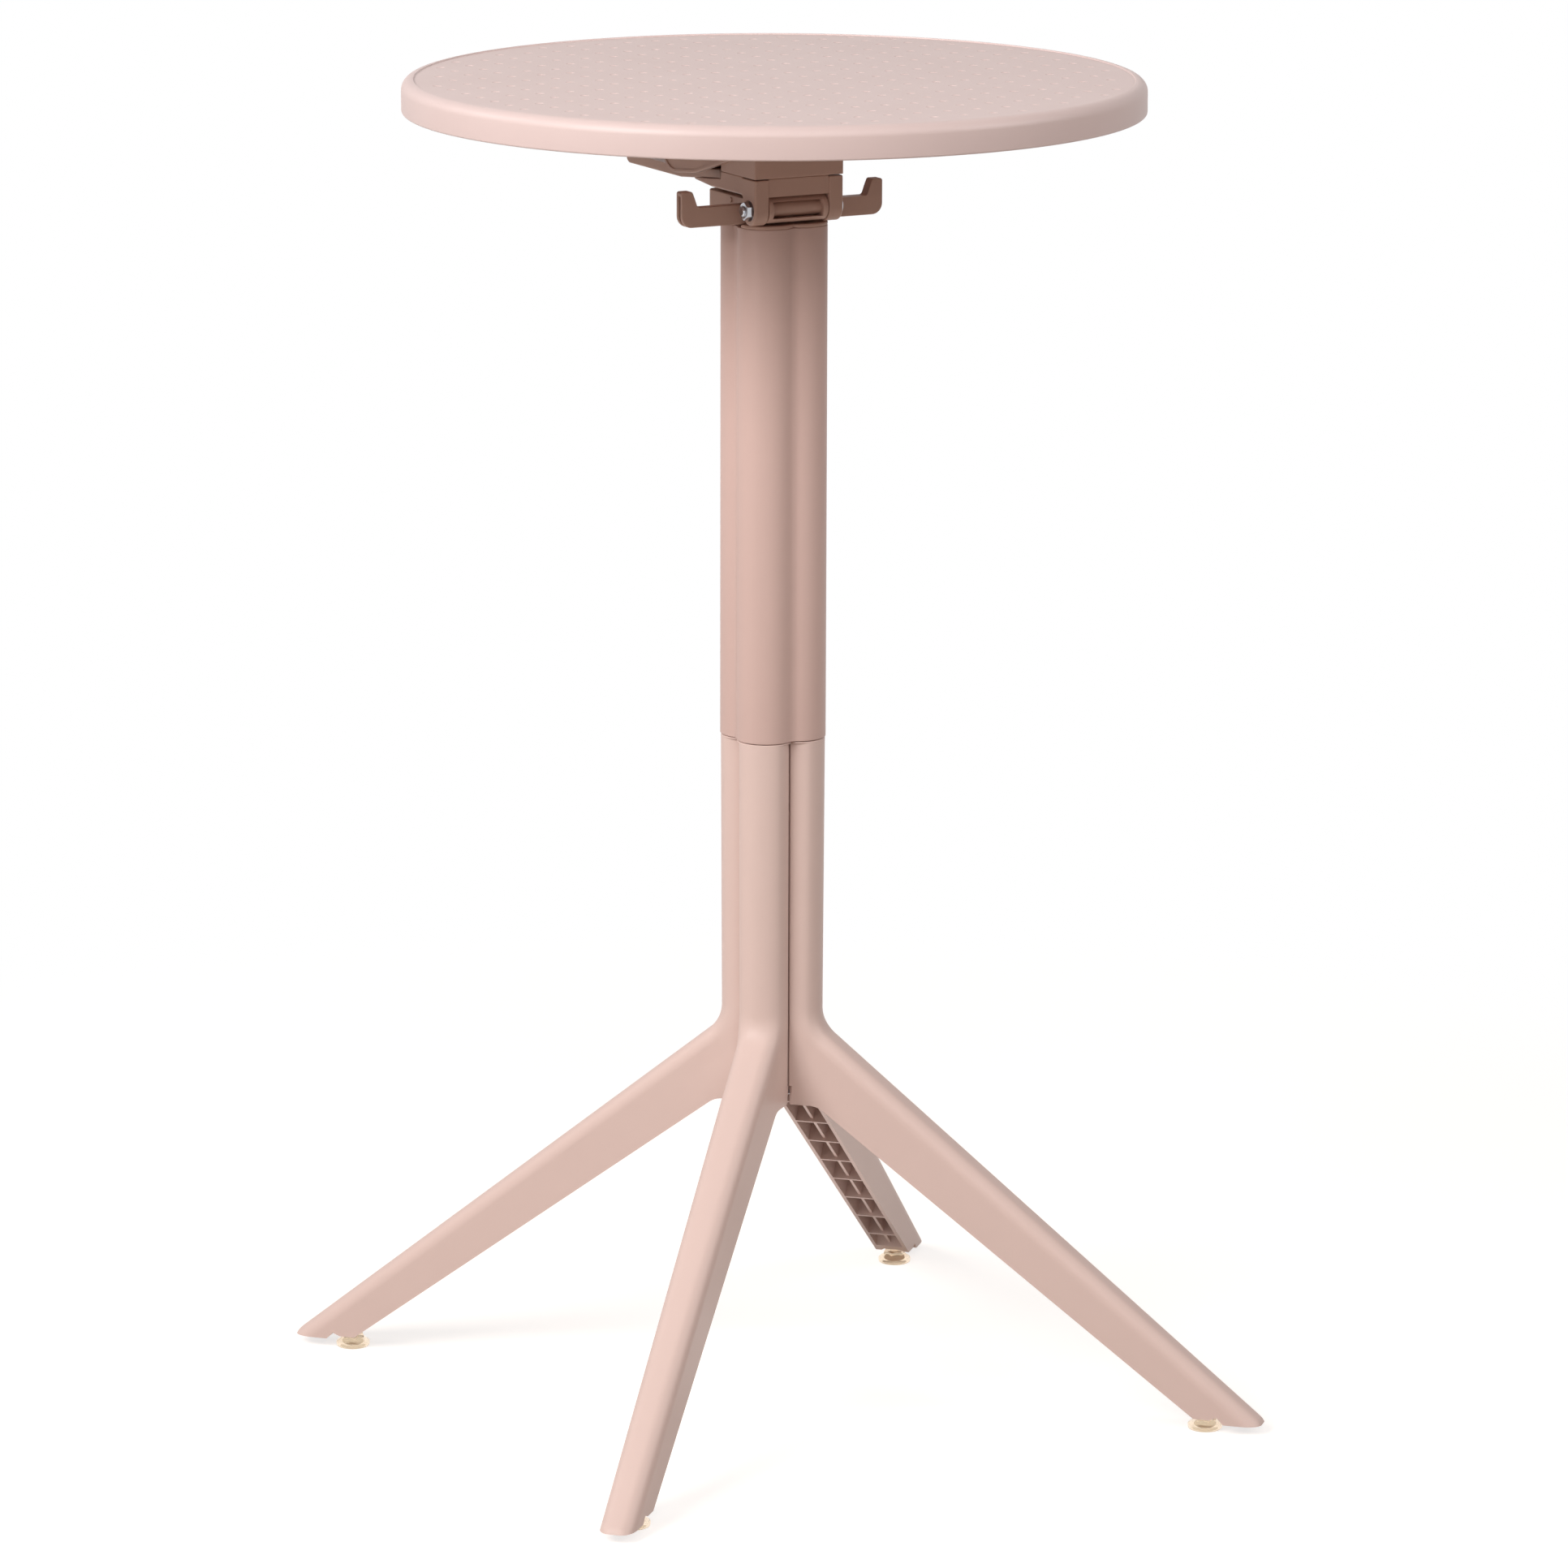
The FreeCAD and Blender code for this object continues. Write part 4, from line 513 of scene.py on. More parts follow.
def rim_profile():
    """From the edge of the field, over the bullnose, round the lip and back under the deck."""
    field_edge = TOP_RADIUS - RIM_LAND
    rise = CREST - FIELD
    step = [(field_edge + out * rise, FIELD + up * rise) for out, up in RIM_STEP]
    nose = arc((TOP_RADIUS - RIM_ROUND, CREST - RIM_ROUND), RIM_ROUND, 90, 0, NOSE_STEPS)
    lip = arc((TOP_RADIUS - RIM_LIP, RIM_LOW + RIM_LIP), RIM_LIP, 0, -90, ARC_STEPS)
    inner = TOP_RADIUS - RIM_WALL
    inner_lip = arc((inner + RIM_INNER_LIP, RIM_LOW + RIM_INNER_LIP), RIM_INNER_LIP, -90, -180,
                    INNER_LIP_STEPS)
    corner = arc((inner - DECK_CORNER, DECK_UNDER - DECK_CORNER), DECK_CORNER, 0, 90, ARC_STEPS)
    return step + nose + lip + inner_lip + corner


def dimple_places():
    rows = int(DIMPLE_REACH / DIMPLE_PITCH)
    grid = [(across * DIMPLE_PITCH, along * DIMPLE_PITCH)
            for across in range(-rows, rows + 1) for along in range(-rows, rows + 1)]
    return rows, [place for place in grid if math.hypot(*place) <= DIMPLE_REACH]


def field_sheet(places):
    """The flat field with a round hole for every dimple."""
    hole = DIMPLE_PROFILE[0][0]
    loops = [circle((0, 0), TOP_RADIUS - RIM_LAND, RIM_SEGMENTS)]
    loops += [circle(place, hole, DIMPLE_SEGMENTS) for place in places]
    points, edges = [], []
    for loop in loops:
        start = len(points)
        points += [Vector(point) for point in loop]
        edges += [(start + number, start + (number + 1) % len(loop)) for number in range(len(loop))]
    flat = delaunay_2d_cdt(points, edges, [], 1, NEAR / 10)
    faces = []
    for face in flat[2]:
        middle = sum((flat[0][corner] for corner in face), Vector((0, 0))) / len(face)
        nearest = [round(middle[axis] / DIMPLE_PITCH) * DIMPLE_PITCH for axis in (0, 1)]
        off = math.hypot(middle.x - nearest[0], middle.y - nearest[1])
        if off > hole or math.hypot(*nearest) > DIMPLE_REACH:
            faces.append(face)
    return [(point.x, point.y, FIELD) for point in flat[0]], faces


def joined(name, parts):
    """One mesh of several lists of points and faces."""
    points, faces = [], []
    for part_points, part_faces in parts:
        start = len(points)
        points += part_points
        faces += [tuple(start + corner for corner in face) for face in part_faces]
    return mesh_from(name, points, faces)


def mesh_parts(mesh):
    return [tuple(vertex.co) for vertex in mesh.vertices], [tuple(face.vertices) for face in mesh.polygons]


def crease_flats(mesh):
    """Keep flat faces flat beside the curves that run into them."""
    work = bmesh.new()
    work.from_mesh(mesh)
    for edge in work.edges:
        if len(edge.link_faces) == 2:
            first, second = (face.normal.z for face in edge.link_faces)
            if max(first, second) > LEVEL and min(first, second) < LEANING:
                edge.smooth = False
    work.to_mesh(mesh)
    work.free()


def make_tabletop():
    rows, places = dimple_places()
    bowl = mesh_from("dimple_bowl", *turned(DIMPLE_PROFILE, DIMPLE_SEGMENTS))
    bowls = grown(DIMPLES, "dimples", {
        "Pitch": DIMPLE_PITCH, "Rows": 2 * rows + 1, "Reach": DIMPLE_REACH, "Height": FIELD, "Bowl": bowl,
        "Finish": RESIN_TOP})
    rim_points, rim_faces = turned(rim_profile(), RIM_SEGMENTS)
    rim_faces.append(tuple(range(len(rim_points) - RIM_SEGMENTS, len(rim_points))))
    shell = tidied(joined("tabletop_shell", [
        (rim_points, rim_faces), field_sheet(places), mesh_parts(bowls)]), RIM_NEAR)
    low, high = DECK_UNDER - RIB_DEPTH, DECK_UNDER + FUSE
    half, tip = RIB_THICKNESS / 2, (RIB_THICKNESS - RIB_EDGE) / 2
    rib_outline = [(-half, high), (-half, low + RIB_EDGE), (-tip, low), (tip, low), (half, low + RIB_EDGE),
                   (half, high)]
    spoke = prism("spoke", rib_outline, RING_RADII[0], TOP_RADIUS - RIM_WALL / 2, "X")
    spokes = grown(WHEEL, "spokes", {"Count": RIB_COUNT, "Rib": spoke, "Finish": RESIN_TOP})
    rings = []
    for radius in RING_RADII:
        loop = [(radius + across, up) for across, up in rib_outline]
        rings.append(turned_mesh("rib_ring", loop + loop[:1], RIM_SEGMENTS // 2))
    bosses = [bar("boss", place, BOSS_RADIUS, BOSS_LOW, high, SOCKET_STEPS) for place in BOSS_PLACES]
    pilots = [bar("pilot", place, PILOT_RADIUS, BOSS_LOW - FUSE, BOSS_LOW + PILOT_DEPTH, PIN_STEPS)
              for place in BOSS_PLACES]
    mesh = carved(carved(shell, rings + [spokes] + bosses, "UNION"), pilots)
    crease_flats(smoothed(tidied(mesh)))
    finished("table_top", mesh, RESIN_TOP, "top", "tabletop")


# Upper column
LOBE_OFFSET = 20 * MM
COLUMN_LOBE = 23.5 * MM
COLUMN_WALL = 4 * MM
VALLEY_ROUND = 9 * MM
COLUMN_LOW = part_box("upper_column")[0].z
COLUMN_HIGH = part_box("upper_column")[1].z
END_ROUND = 0.8 * MM
END_TURNS = (0, math.pi / 6, math.pi / 3, math.pi / 2)
LOBE_STEPS = 30
VALLEY_STEPS = 8


def lobed_outline(lobe, valley):
    """Four lobes on the diagonals with rounded valleys between them."""
    step = LOBE_OFFSET / math.sqrt(2)
    reach = step + math.sqrt((lobe + valley) ** 2 - step ** 2)
    lean = math.degrees(math.asin(step / (lobe + valley)))
    points = []
    for quarter in range(4):
        turn = Matrix.Rotation(quarter * math.pi / 2, 2)
        side = arc((step, step), lobe, -lean, 90 + lean, LOBE_STEPS)
        side += arc((0, reach), valley, lean - 90, -90 - lean, VALLEY_STEPS)[1:-1]
        points += [tuple(turn @ Vector(point)) for point in side]
    return points


def make_upper_column():
    rings = [(END_ROUND * (1 - math.cos(turn)), COLUMN_LOW + END_ROUND * (1 - math.sin(turn)))
             for turn in reversed(END_TURNS)]
    rings += [(inset, COLUMN_HIGH + COLUMN_LOW - level) for inset, level in reversed(rings)]
    outside = lofted("column_skin", [
        [(across, along, level) for across, along in lobed_outline(COLUMN_LOBE - inset, VALLEY_ROUND + inset)]
        for inset, level in rings])
    inside = prism("column_bore", lobed_outline(COLUMN_LOBE - COLUMN_WALL, VALLEY_ROUND),
                   COLUMN_LOW - FUSE, COLUMN_HIGH + FUSE)
    mesh = smoothed(tidied(carved(outside, [inside])))
    # The column tube takes the resin with painted shade
    finished("column_tube", mesh, SHADED_RESIN_COLUMN, "stand", "upper_column")


# Legs, drawn along +X
NECK_LOBE = 22.9 * MM
HUB_LOBE = 21.5 * MM
HUB_LOW = 247 * MM
HUB_EDGE = 43.2 * MM
HUB_ROUND = 20 * MM
BEND = (42.5 * MM, 310.3 * MM)
BEND_ROUND = 28 * MM
BEND_LEAN = math.radians(8)
TOE_TIP = (418 * MM, 8 * MM)
TOE_FACE = 416.5 * MM
TOE_ROUND = 5 * MM
TOE_CORNER = 12 * MM
TOE_CORNER_SLACK = 2.5 * MM
FOOT_CIRCLE = 367.4 * MM
HEEL_START = FOOT_CIRCLE - 9.4 * MM
FOOT_SEAT = 13.3 * MM
FOOT_BAY = 11.5 * MM
SKIRT_LOW = 11.1 * MM
HEEL_NOTCH = [(FOOT_CIRCLE + 6.7 * MM, SKIRT_LOW), (FOOT_CIRCLE + 12.8 * MM, 13.7 * MM),
              (FOOT_CIRCLE + 18.3 * MM, TOE_TIP[1])]
ROOT_HALF = 18 * MM
TIP_HALF = 14.4 * MM
TAPER_END = 468.6 * MM
DOME = 11 * MM
CROWN = 1.2 * MM
KNEE_BLEND = 11 * MM
SIDE_BLEND = 5 * MM
SEAM_GAP = 1.6 * MM
SEAM_STEP = 2.3 * MM
SEAM_STEP_RISE = 16 * MM
SHADOW_GAP = 0.6 * MM
SPIGOT = 19.35 * MM
SPIGOT_WALL = 3 * MM
SPIGOT_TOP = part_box("leg_back")[1].z
CORE_APEX = 12 * MM
CORE_LOW = HUB_LOW + 28 * MM
LEG_WALL = 3.5 * MM
VOID_START = 50 * MM
VOID_END = 352 * MM
RUNG_THICKNESS = 2.2 * MM
RUNG_FIRST = 78.3 * MM
RUNG_PITCH = 35.7 * MM
RUNG_COUNT = 8
SPINE_THICKNESS = 2.5 * MM
SPINE_RECESS = 3 * MM
ROD_RELIEF = 7 * MM
# Radius and depth of the recess for the clamp plate and of the socket for a foot's insert
CLAMP_RECESS = (26 * MM, 12 * MM)
SOCKET = (6 * MM, 24.2 * MM)
BLANK = 60 * MM
RUNG_DROP = 6 * MM
SKIN_DROP = 14 * MM
BEND_STEPS = 12
LEG_RAYS = 144
RAY_REACH = 110 * MM
RAY_STEPS = 221
RAY_HALVINGS = 24
NECK_START = 2 * MM
NECK_SECTIONS = 12
KNEE_SECTIONS = 25
BEAM_SECTIONS = 16
TOE_SECTIONS = 20
TOE_SHARE = 0.9
SLOPE_STEP = 0.02 * MM
SKIN_NEAR = 0.1 * MM
SHOULDER_ZONE = 1.5 * MM
TOP_SLOPE = (BEND[1] - TOE_TIP[1]) / (TOE_TIP[0] - BEND[0])
TOP_ANGLE = math.atan(TOP_SLOPE)
UNDER_SLOPE = (HUB_LOW - FOOT_SEAT) / (HEEL_START - HUB_EDGE)
UNDER_ANGLE = math.atan(UNDER_SLOPE)


def over(reach):
    """Height of the beam's upper edge at a distance from the column's axis."""
    return BEND[1] - TOP_SLOPE * (reach - BEND[0])


def under(reach):
    """Height of the beam's lower edge there."""
    return HUB_LOW - UNDER_SLOPE * (reach - HUB_EDGE)


def smooth_least(first, second, blend):
    """The smaller of two distances, eased over where they meet."""
    ease = np.maximum(blend - np.abs(first - second), 0) / blend
    return np.minimum(first, second) - ease ** 2 * blend / 4


def half_width(reach):
    return ROOT_HALF + (TIP_HALF - ROOT_HALF) * reach / TAPER_END


def leg_distance(point):
    """Distance from the leg's outer skin, less than zero inside: a lobe that melts into a domed beam."""
    across, along, up = point[..., 0], point[..., 1], point[..., 2]
    radius = HUB_LOBE + (NECK_LOBE - HUB_LOBE) * (up - HUB_LOW) / (COLUMN_LOW - HUB_LOW)
    lobe = np.hypot(across - LOBE_OFFSET, along) - radius
    half = half_width(across)
    depth = (over(across) - up) * math.cos(TOP_ANGLE) - CROWN * np.minimum(np.abs(along) / half, 1) ** 2
    side = np.abs(along) - half + DOME
    roof = DOME - depth
    beam = np.hypot(np.maximum(side, 0), np.maximum(roof, 0)) + np.minimum(np.maximum(side, roof), 0) - DOME
    low_down = np.clip(depth / (2 * DOME), 0, 1)
    skin = smooth_least(lobe, beam, KNEE_BLEND + (SIDE_BLEND - KNEE_BLEND) * low_down)
    aside = np.maximum(np.abs(along) - half - TOE_CORNER_SLACK + TOE_CORNER, 0)
    ahead = across - TOE_FACE + TOE_CORNER
    toe = np.hypot(aside, np.maximum(ahead, 0)) + np.minimum(np.maximum(aside, ahead), 0) - TOE_CORNER
    return -smooth_least(-skin, -toe, TOE_ROUND)


def leg_floor(point):
    """Distance below a line some way under the leg, where the drawn-out skin may end."""
    across, up = point[..., 0], point[..., 2]
    return np.where(across < HUB_EDGE, HUB_LOW, under(across)) - SKIN_DROP - up


def ray_lengths(origin, rays):
    """How far each ray runs from a point inside the leg to its skin."""
    steps = np.linspace(0, RAY_REACH, RAY_STEPS)
    points = origin + rays[:, None, :] * steps[None, :, None]
    outside = np.maximum(leg_distance(points), leg_floor(points)) > 0
    first = np.argmax(outside, axis=1)
    low, high = steps[first - 1], steps[first]
    for _ in range(RAY_HALVINGS):
        middle = (low + high) / 2
        points = origin + rays * middle[:, None]
        inside = np.maximum(leg_distance(points), leg_floor(points)) <= 0
        low, high = np.where(inside, middle, low), np.where(inside, high, middle)
    return low


def leg_skin():
    """Sections that go down the lobe, fan round the knee and run out along the beam."""
    neck = (-math.sin(BEND_LEAN), math.cos(BEND_LEAN))
    slope = (math.cos(TOP_ANGLE), -math.sin(TOP_ANGLE))
    open_angle = math.acos(neck[0] * slope[0] + neck[1] * slope[1])
    aim = Vector((neck[0] + slope[0], neck[1] + slope[1])).normalized()
    out = aim * BEND_ROUND / math.sin(open_angle / 2)
    pivot = Vector((BEND[0] + out.x, 0, BEND[1] + out.y))
    reach = pivot.x - LOBE_OFFSET
    turns = np.radians(np.arange(LEG_RAYS) * 360 / LEG_RAYS)
    sections = [(Vector((LOBE_OFFSET, 0, level)), Vector((1, 0, 0)))
                for level in np.linspace(COLUMN_LOW - NECK_START, pivot.z, NECK_SECTIONS)]
    knee = math.pi / 2 - TOP_ANGLE
    for turn in np.linspace(0, knee, KNEE_SECTIONS)[1:]:
        outward = Vector((math.cos(turn), 0, math.sin(turn)))
        sections.append((pivot - outward * reach, outward))
    start, outward = sections[-1]
    run = Vector((slope[0], 0, slope[1]))
    length = (TOE_FACE - TOE_ROUND / 4 - start.x) / slope[0]
    travel = np.concatenate([np.linspace(0, TOE_SHARE, BEAM_SECTIONS)[1:],
                             np.linspace(TOE_SHARE, 1, TOE_SECTIONS)[1:]])
    sections += [(start + run * length * share, outward) for share in travel]
    shoulder = COLUMN_LOW - SHADOW_GAP
    rings = [[(LOBE_OFFSET + radius * math.cos(turn), radius * math.sin(turn), level) for turn in turns]
             for radius, level in [(SPIGOT, SPIGOT_TOP), (SPIGOT, shoulder)] + [
                 (NECK_LOBE - END_ROUND * (1 - math.sin(turn)), shoulder - END_ROUND * (1 - math.cos(turn)))
                 for turn in END_TURNS]]
    for origin, outward in sections:
        rays = np.outer(np.cos(turns), outward) + np.outer(np.sin(turns), (0, 1, 0))
        lengths = ray_lengths(np.array(origin), rays)
        rings.append([tuple(point) for point in np.array(origin) + rays * lengths[:, None]])
    return lofted("leg_skin", rings)


def wedge(name, apex, low, high, aside=0):
    """A quarter round +X, with its edge at apex, set aside along Y."""
    far = 3 * TAPER_END
    return prism(name, [(apex, aside), (apex + far, aside - far), (apex + far, aside + far)], low, high)


def leg_underside():
    """All that lies below the hub, the beam's open side, the foot's seat and the toe."""
    ease = HUB_ROUND * math.tan(UNDER_ANGLE / 2)
    bend = arc((HUB_EDGE - ease, HUB_LOW - HUB_ROUND), HUB_ROUND, 90, 90 - math.degrees(UNDER_ANGLE),
               BEND_STEPS)
    skirt_start = HUB_EDGE + (HUB_LOW - SKIRT_LOW) / UNDER_SLOPE
    outline = [(-BLANK, HUB_LOW)] + bend + [(skirt_start, SKIRT_LOW)] + HEEL_NOTCH + [
        (TAPER_END + BLANK, TOE_TIP[1]), (TAPER_END + BLANK, -2 * BLANK), (-BLANK, -2 * BLANK)]
    return prism("leg_underside", outline, -BLANK, BLANK, "Y")


def leg_cells():
    """Hollow of the beam, parted by a spine and a row of rungs."""
    rings = []
    for reach in (VOID_START, VOID_END):
        half = half_width(reach) - LEG_WALL
        roof = over(reach) - LEG_WALL / math.cos(TOP_ANGLE)
        floor = under(reach) - FUSE
        corner = DOME - LEG_WALL
        outline = [(-half, floor), (half, floor)]
        outline += arc((half - corner, roof - corner), corner, 0, 90, ARC_STEPS)
        outline += arc((corner - half, roof - corner), corner, 90, 180, ARC_STEPS)
        rings.append([(reach, along, up) for along, up in outline])
    void = lofted("leg_void", rings)
    lean = Matrix.Rotation(UNDER_ANGLE, 4, "Y")
    spine = prism("leg_spine", [(-BLANK, SPINE_RECESS), (TAPER_END, SPINE_RECESS), (TAPER_END, 2 * BLANK),
                                (-BLANK, 2 * BLANK)], -SPINE_THICKNESS / 2, SPINE_THICKNESS / 2, "Y")
    spine.transform(Matrix.Translation((HUB_EDGE, 0, HUB_LOW)) @ lean)
    half = RUNG_THICKNESS / 2
    rung = prism("leg_rung", [(-half, -RUNG_DROP), (half, -RUNG_DROP), (half, 2 * BLANK), (-half, 2 * BLANK)],
                 -BLANK / 2, BLANK / 2, "Y")
    rung.transform(lean)
    rungs = grown(ROW, "leg_rungs", {
        "Count": RUNG_COUNT, "First": (RUNG_FIRST, 0, under(RUNG_FIRST)),
        "Step": (RUNG_PITCH, 0, -UNDER_SLOPE * RUNG_PITCH), "Rung": rung, "Finish": RESIN_FRAME})
    return carved(void, [spine, rungs])


def leg_normals(mesh):
    """Shade the outer skin by its own rule, and every cut face flat."""
    count = len(mesh.vertices)
    points = np.empty(count * 3)
    mesh.vertices.foreach_get("co", points)
    points = points.reshape(-1, 3)
    slope = np.stack([leg_distance(points + axis) - leg_distance(points - axis)
                      for axis in SLOPE_STEP * np.eye(3)], axis=1)
    slope /= np.maximum(np.linalg.norm(slope, axis=1, keepdims=True), NEAR ** 2)
    on_skin = np.abs(leg_distance(points)) < SKIN_NEAR
    on_skin &= points[:, 2] < COLUMN_LOW - SHOULDER_ZONE
    normals = []
    for face in mesh.polygons:
        for corner in face.vertices:
            smooth = on_skin[corner] and np.dot(slope[corner], face.normal) > math.cos(SHARP)
            normals.append(tuple(slope[corner]) if smooth else tuple(face.normal))
    for polygon in mesh.polygons:
        polygon.use_smooth = True
    mesh.normals_split_custom_set(normals)


def make_legs():
    step = HUB_LOW + SEAM_STEP_RISE
    apex = SEAM_GAP / math.sqrt(2)
    quarter = carved(wedge("leg_quarter", apex, step, 2 * SPIGOT_TOP),
                     [wedge("hub_quarter", apex, -BLANK, step, SEAM_STEP)], "UNION")
    bore = bar("leg_core", (LOBE_OFFSET, 0), SPIGOT - SPIGOT_WALL, CORE_LOW, 2 * SPIGOT_TOP, BORE_STEPS)
    core = carved(bore, [wedge("leg_core_wedge", CORE_APEX, 0, 3 * SPIGOT_TOP)], "INTERSECT")
    foot = (FOOT_CIRCLE, 0)
    tools = [leg_underside(), leg_cells(), core,
             bar("rod_relief", (0, 0), ROD_RELIEF, 0, 2 * SPIGOT_TOP, BOLT_STEPS),
             bar("clamp_recess", (0, 0), CLAMP_RECESS[0], 0, HUB_LOW + CLAMP_RECESS[1], PLATE_STEPS),
             bar("foot_bay", foot, FOOT_BAY, 0, FOOT_SEAT, BORE_STEPS),
             bar("foot_socket", foot, SOCKET[0], 0, FOOT_SEAT + SOCKET[1], SOCKET_STEPS)]
    form = tidied(carved(carved(leg_skin(), [quarter], "INTERSECT"), tools))
    leg_normals(form)
    for side, turn in LEG_TURNS.items():
        mesh = moved(form, Matrix.Rotation(math.radians(turn), 4, "Z"))
        mesh.name = "leg_" + side
        finished("ribbed_leg_" + side, mesh, RESIN_FRAME, "stand", "leg_" + side)


# Feet
FOOT_RIM = 14 * MM
FOOT_SOLE = [(0, 0.1 * MM), (6 * MM, 0.1 * MM), (7 * MM, 0), (11.8 * MM, 0)]
FOOT_LOW_ROUND = 1.4 * MM
FOOT_HIGH_ROUND = 0.9 * MM
FOOT_RIM_HEIGHT = 3.4 * MM
FOOT_ROUND_STEPS = 5
FOOT_STUD = 4 * MM
STUD_EDGE = 0.8 * MM
STUD_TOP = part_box("foot_back")[1].z
COLLAR_LOW = 4 * MM
COLLAR_HIGH = 10 * MM
COLLAR_CORNER = 9.5 * MM
CONE_TOP = (8 * MM, 8 * MM)
FOOT_SEGMENTS = 72
HEX_SIDES = 6


def hexagon(name, corner, low, high):
    """A six-sided bar about Z whose corners are turned off at both ends."""
    flat = corner * math.cos(math.pi / HEX_SIDES)
    drop = (corner - flat) * math.tan(math.pi / HEX_SIDES)
    stock = bar(name, (0, 0), corner, low, high, HEX_SIDES)
    profile = [(0, low), (flat, low), (corner, low + drop), (corner, high - drop), (flat, high), (0, high)]
    return carved(stock, [turned_mesh(name + "_turning", profile, FOOT_SEGMENTS)], "INTERSECT")


def threaded(name, size, length):
    """A thread ridge about Z from nought up. size is its radius, its depth and its pitch."""
    radius, ridge, pitch = size
    return grown(THREAD, name, {"Radius": radius, "Turns": length / pitch, "Length": length, "Ridge": ridge})


def merged(name, meshes):
    return joined(name, [mesh_parts(mesh) for mesh in meshes])


def make_feet():
    rim_low = arc((FOOT_RIM - FOOT_LOW_ROUND, FOOT_LOW_ROUND), FOOT_LOW_ROUND, -80, 0, ARC_STEPS)
    rim_high = arc((FOOT_RIM - FOOT_HIGH_ROUND, FOOT_RIM_HEIGHT), FOOT_HIGH_ROUND, 0, 56, FOOT_ROUND_STEPS)
    stud = [(FOOT_STUD, CONE_TOP[1]), (FOOT_STUD, STUD_TOP - STUD_EDGE), (FOOT_STUD - STUD_EDGE, STUD_TOP),
            (0, STUD_TOP)]
    profile = FOOT_SOLE + rim_low + rim_high + [CONE_TOP] + stud
    collar = hexagon("foot_collar", COLLAR_CORNER, COLLAR_LOW, COLLAR_HIGH)
    form = smoothed(tidied(carved(turned_mesh("foot_form", profile, FOOT_SEGMENTS), [collar], "UNION")))
    for side, turn in LEG_TURNS.items():
        swing = Matrix.Rotation(math.radians(turn), 4, "Z") @ Matrix.Translation((FOOT_CIRCLE, 0, 0))
        mesh = moved(form, swing)
        mesh.name = "foot_" + side
        finished("clear_foot_" + side, mesh, CLEAR_RESIN, "glide_" + side, "foot_" + side)


# Hinge head: each piece's node and body, how far its edges are rounded, and the core that isn't
HEAD_PIECES = [
    ("column_head", "stand", 1.0 * MM, 16 * MM),
    ("hook_bar", "stand", 1.0 * MM, 0),
    ("tilt_yoke", "top", 1.1 * MM, 0),
    ("carrier_bracket", "top", 1.1 * MM, 0),
    ("release_lever", "lever", 1.2 * MM, 0)]


def make_head_pieces():
    for node, body, width, core in HEAD_PIECES:
        # The head pieces take the resin with painted shade
        finished(node + "_shell", softened(node, width, core), SHADED_RESIN_HEAD, body, node)


# Fasteners
BOLT_RADIUS = 4 * MM
BOLT_CHAMFER = 0.9 * MM
BOLT_SLACK = 0.1 * MM
HEX_CORNER = 7.5 * MM
HOLE_GAP = 0.2 * MM
WASHER_THICKNESS = 1.6 * MM
WASHER_EDGE = 0.3 * MM
SCREW_HEAD = 5 * MM
SCREW_HEAD_HEIGHT = 3 * MM
# The screw head's outline, as radii and shares of its height
SCREW_DOME = [(0, 1), (2.2 * MM, 1), (3.6 * MM, 0.9), (4.5 * MM, 0.68), (SCREW_HEAD, 0.32), (SCREW_HEAD, 0)]
SCREW_CORE = 1.95 * MM
SCREW_POINT = 2 * MM
SCREW_TIP = 0.4 * MM
CROSS_ARM = 2.4 * MM
CROSS_HALF = 0.5 * MM
CROSS_DEPTH = 1.7 * MM
BOLT_THREAD = (3.75 * MM, 0.3 * MM, 1.25 * MM)
THREAD_START = 0.6 * MM
THREAD_LENGTH = 14 * MM
HINGE_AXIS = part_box("pivot_bolt")[0].lerp(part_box("pivot_bolt")[1], 0.5)


def along_hinge(start):
    """Turns a form drawn up Z so that it runs along +X from a place on the hinge's axis."""
    return Matrix.Translation((start, HINGE_AXIS.y, HINGE_AXIS.z)) @ Matrix.Rotation(math.pi / 2, 4, "Y")


def drilled(mesh, radius, low, high):
    return carved(mesh, [bar("drill", (0, 0), radius, low - FUSE, high + FUSE, BOLT_STEPS)])


def plain_washer(inner, outer, thickness):
    edge = WASHER_EDGE
    loop = [(inner, edge), (inner + edge, 0), (outer - edge, 0), (outer, edge), (outer, thickness - edge),
            (outer - edge, thickness), (inner + edge, thickness), (inner, thickness - edge)]
    return turned_mesh("washer", loop + loop[:1], BORE_STEPS)


def pan_screw(bite):
    """A pan-head screw that points up from its seat at nought, with a cross in its head."""
    profile = [(radius, -share * SCREW_HEAD_HEIGHT) for radius, share in SCREW_DOME]
    profile += [(SCREW_CORE, 0), (SCREW_CORE, bite - SCREW_POINT), (SCREW_TIP, bite), (0, bite)]
    low, high = -SCREW_HEAD_HEIGHT - FUSE, CROSS_DEPTH - SCREW_HEAD_HEIGHT
    cross = [prism("cross_arm", [(-a, -b), (a, -b), (a, b), (-a, b)], low, high)
             for a, b in ((CROSS_ARM, CROSS_HALF), (CROSS_HALF, CROSS_ARM))]
    return smoothed(tidied(carved(turned_mesh("screw", profile, SCREW_STEPS), cross)))


def make_screws(name, node, places):
    """A set of screws on the seats that a construction node's screws have."""
    low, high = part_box(node)
    seat = low.z + SCREW_HEAD_HEIGHT
    host = mesh_from(node, [(across, along, seat) for across, along in places], [])
    mesh = smoothed(grown(PLACES, node, {"Screw": pan_screw(high.z - seat), "Finish": ZINC}, host))
    finished(name, mesh, ZINC, "top", node)


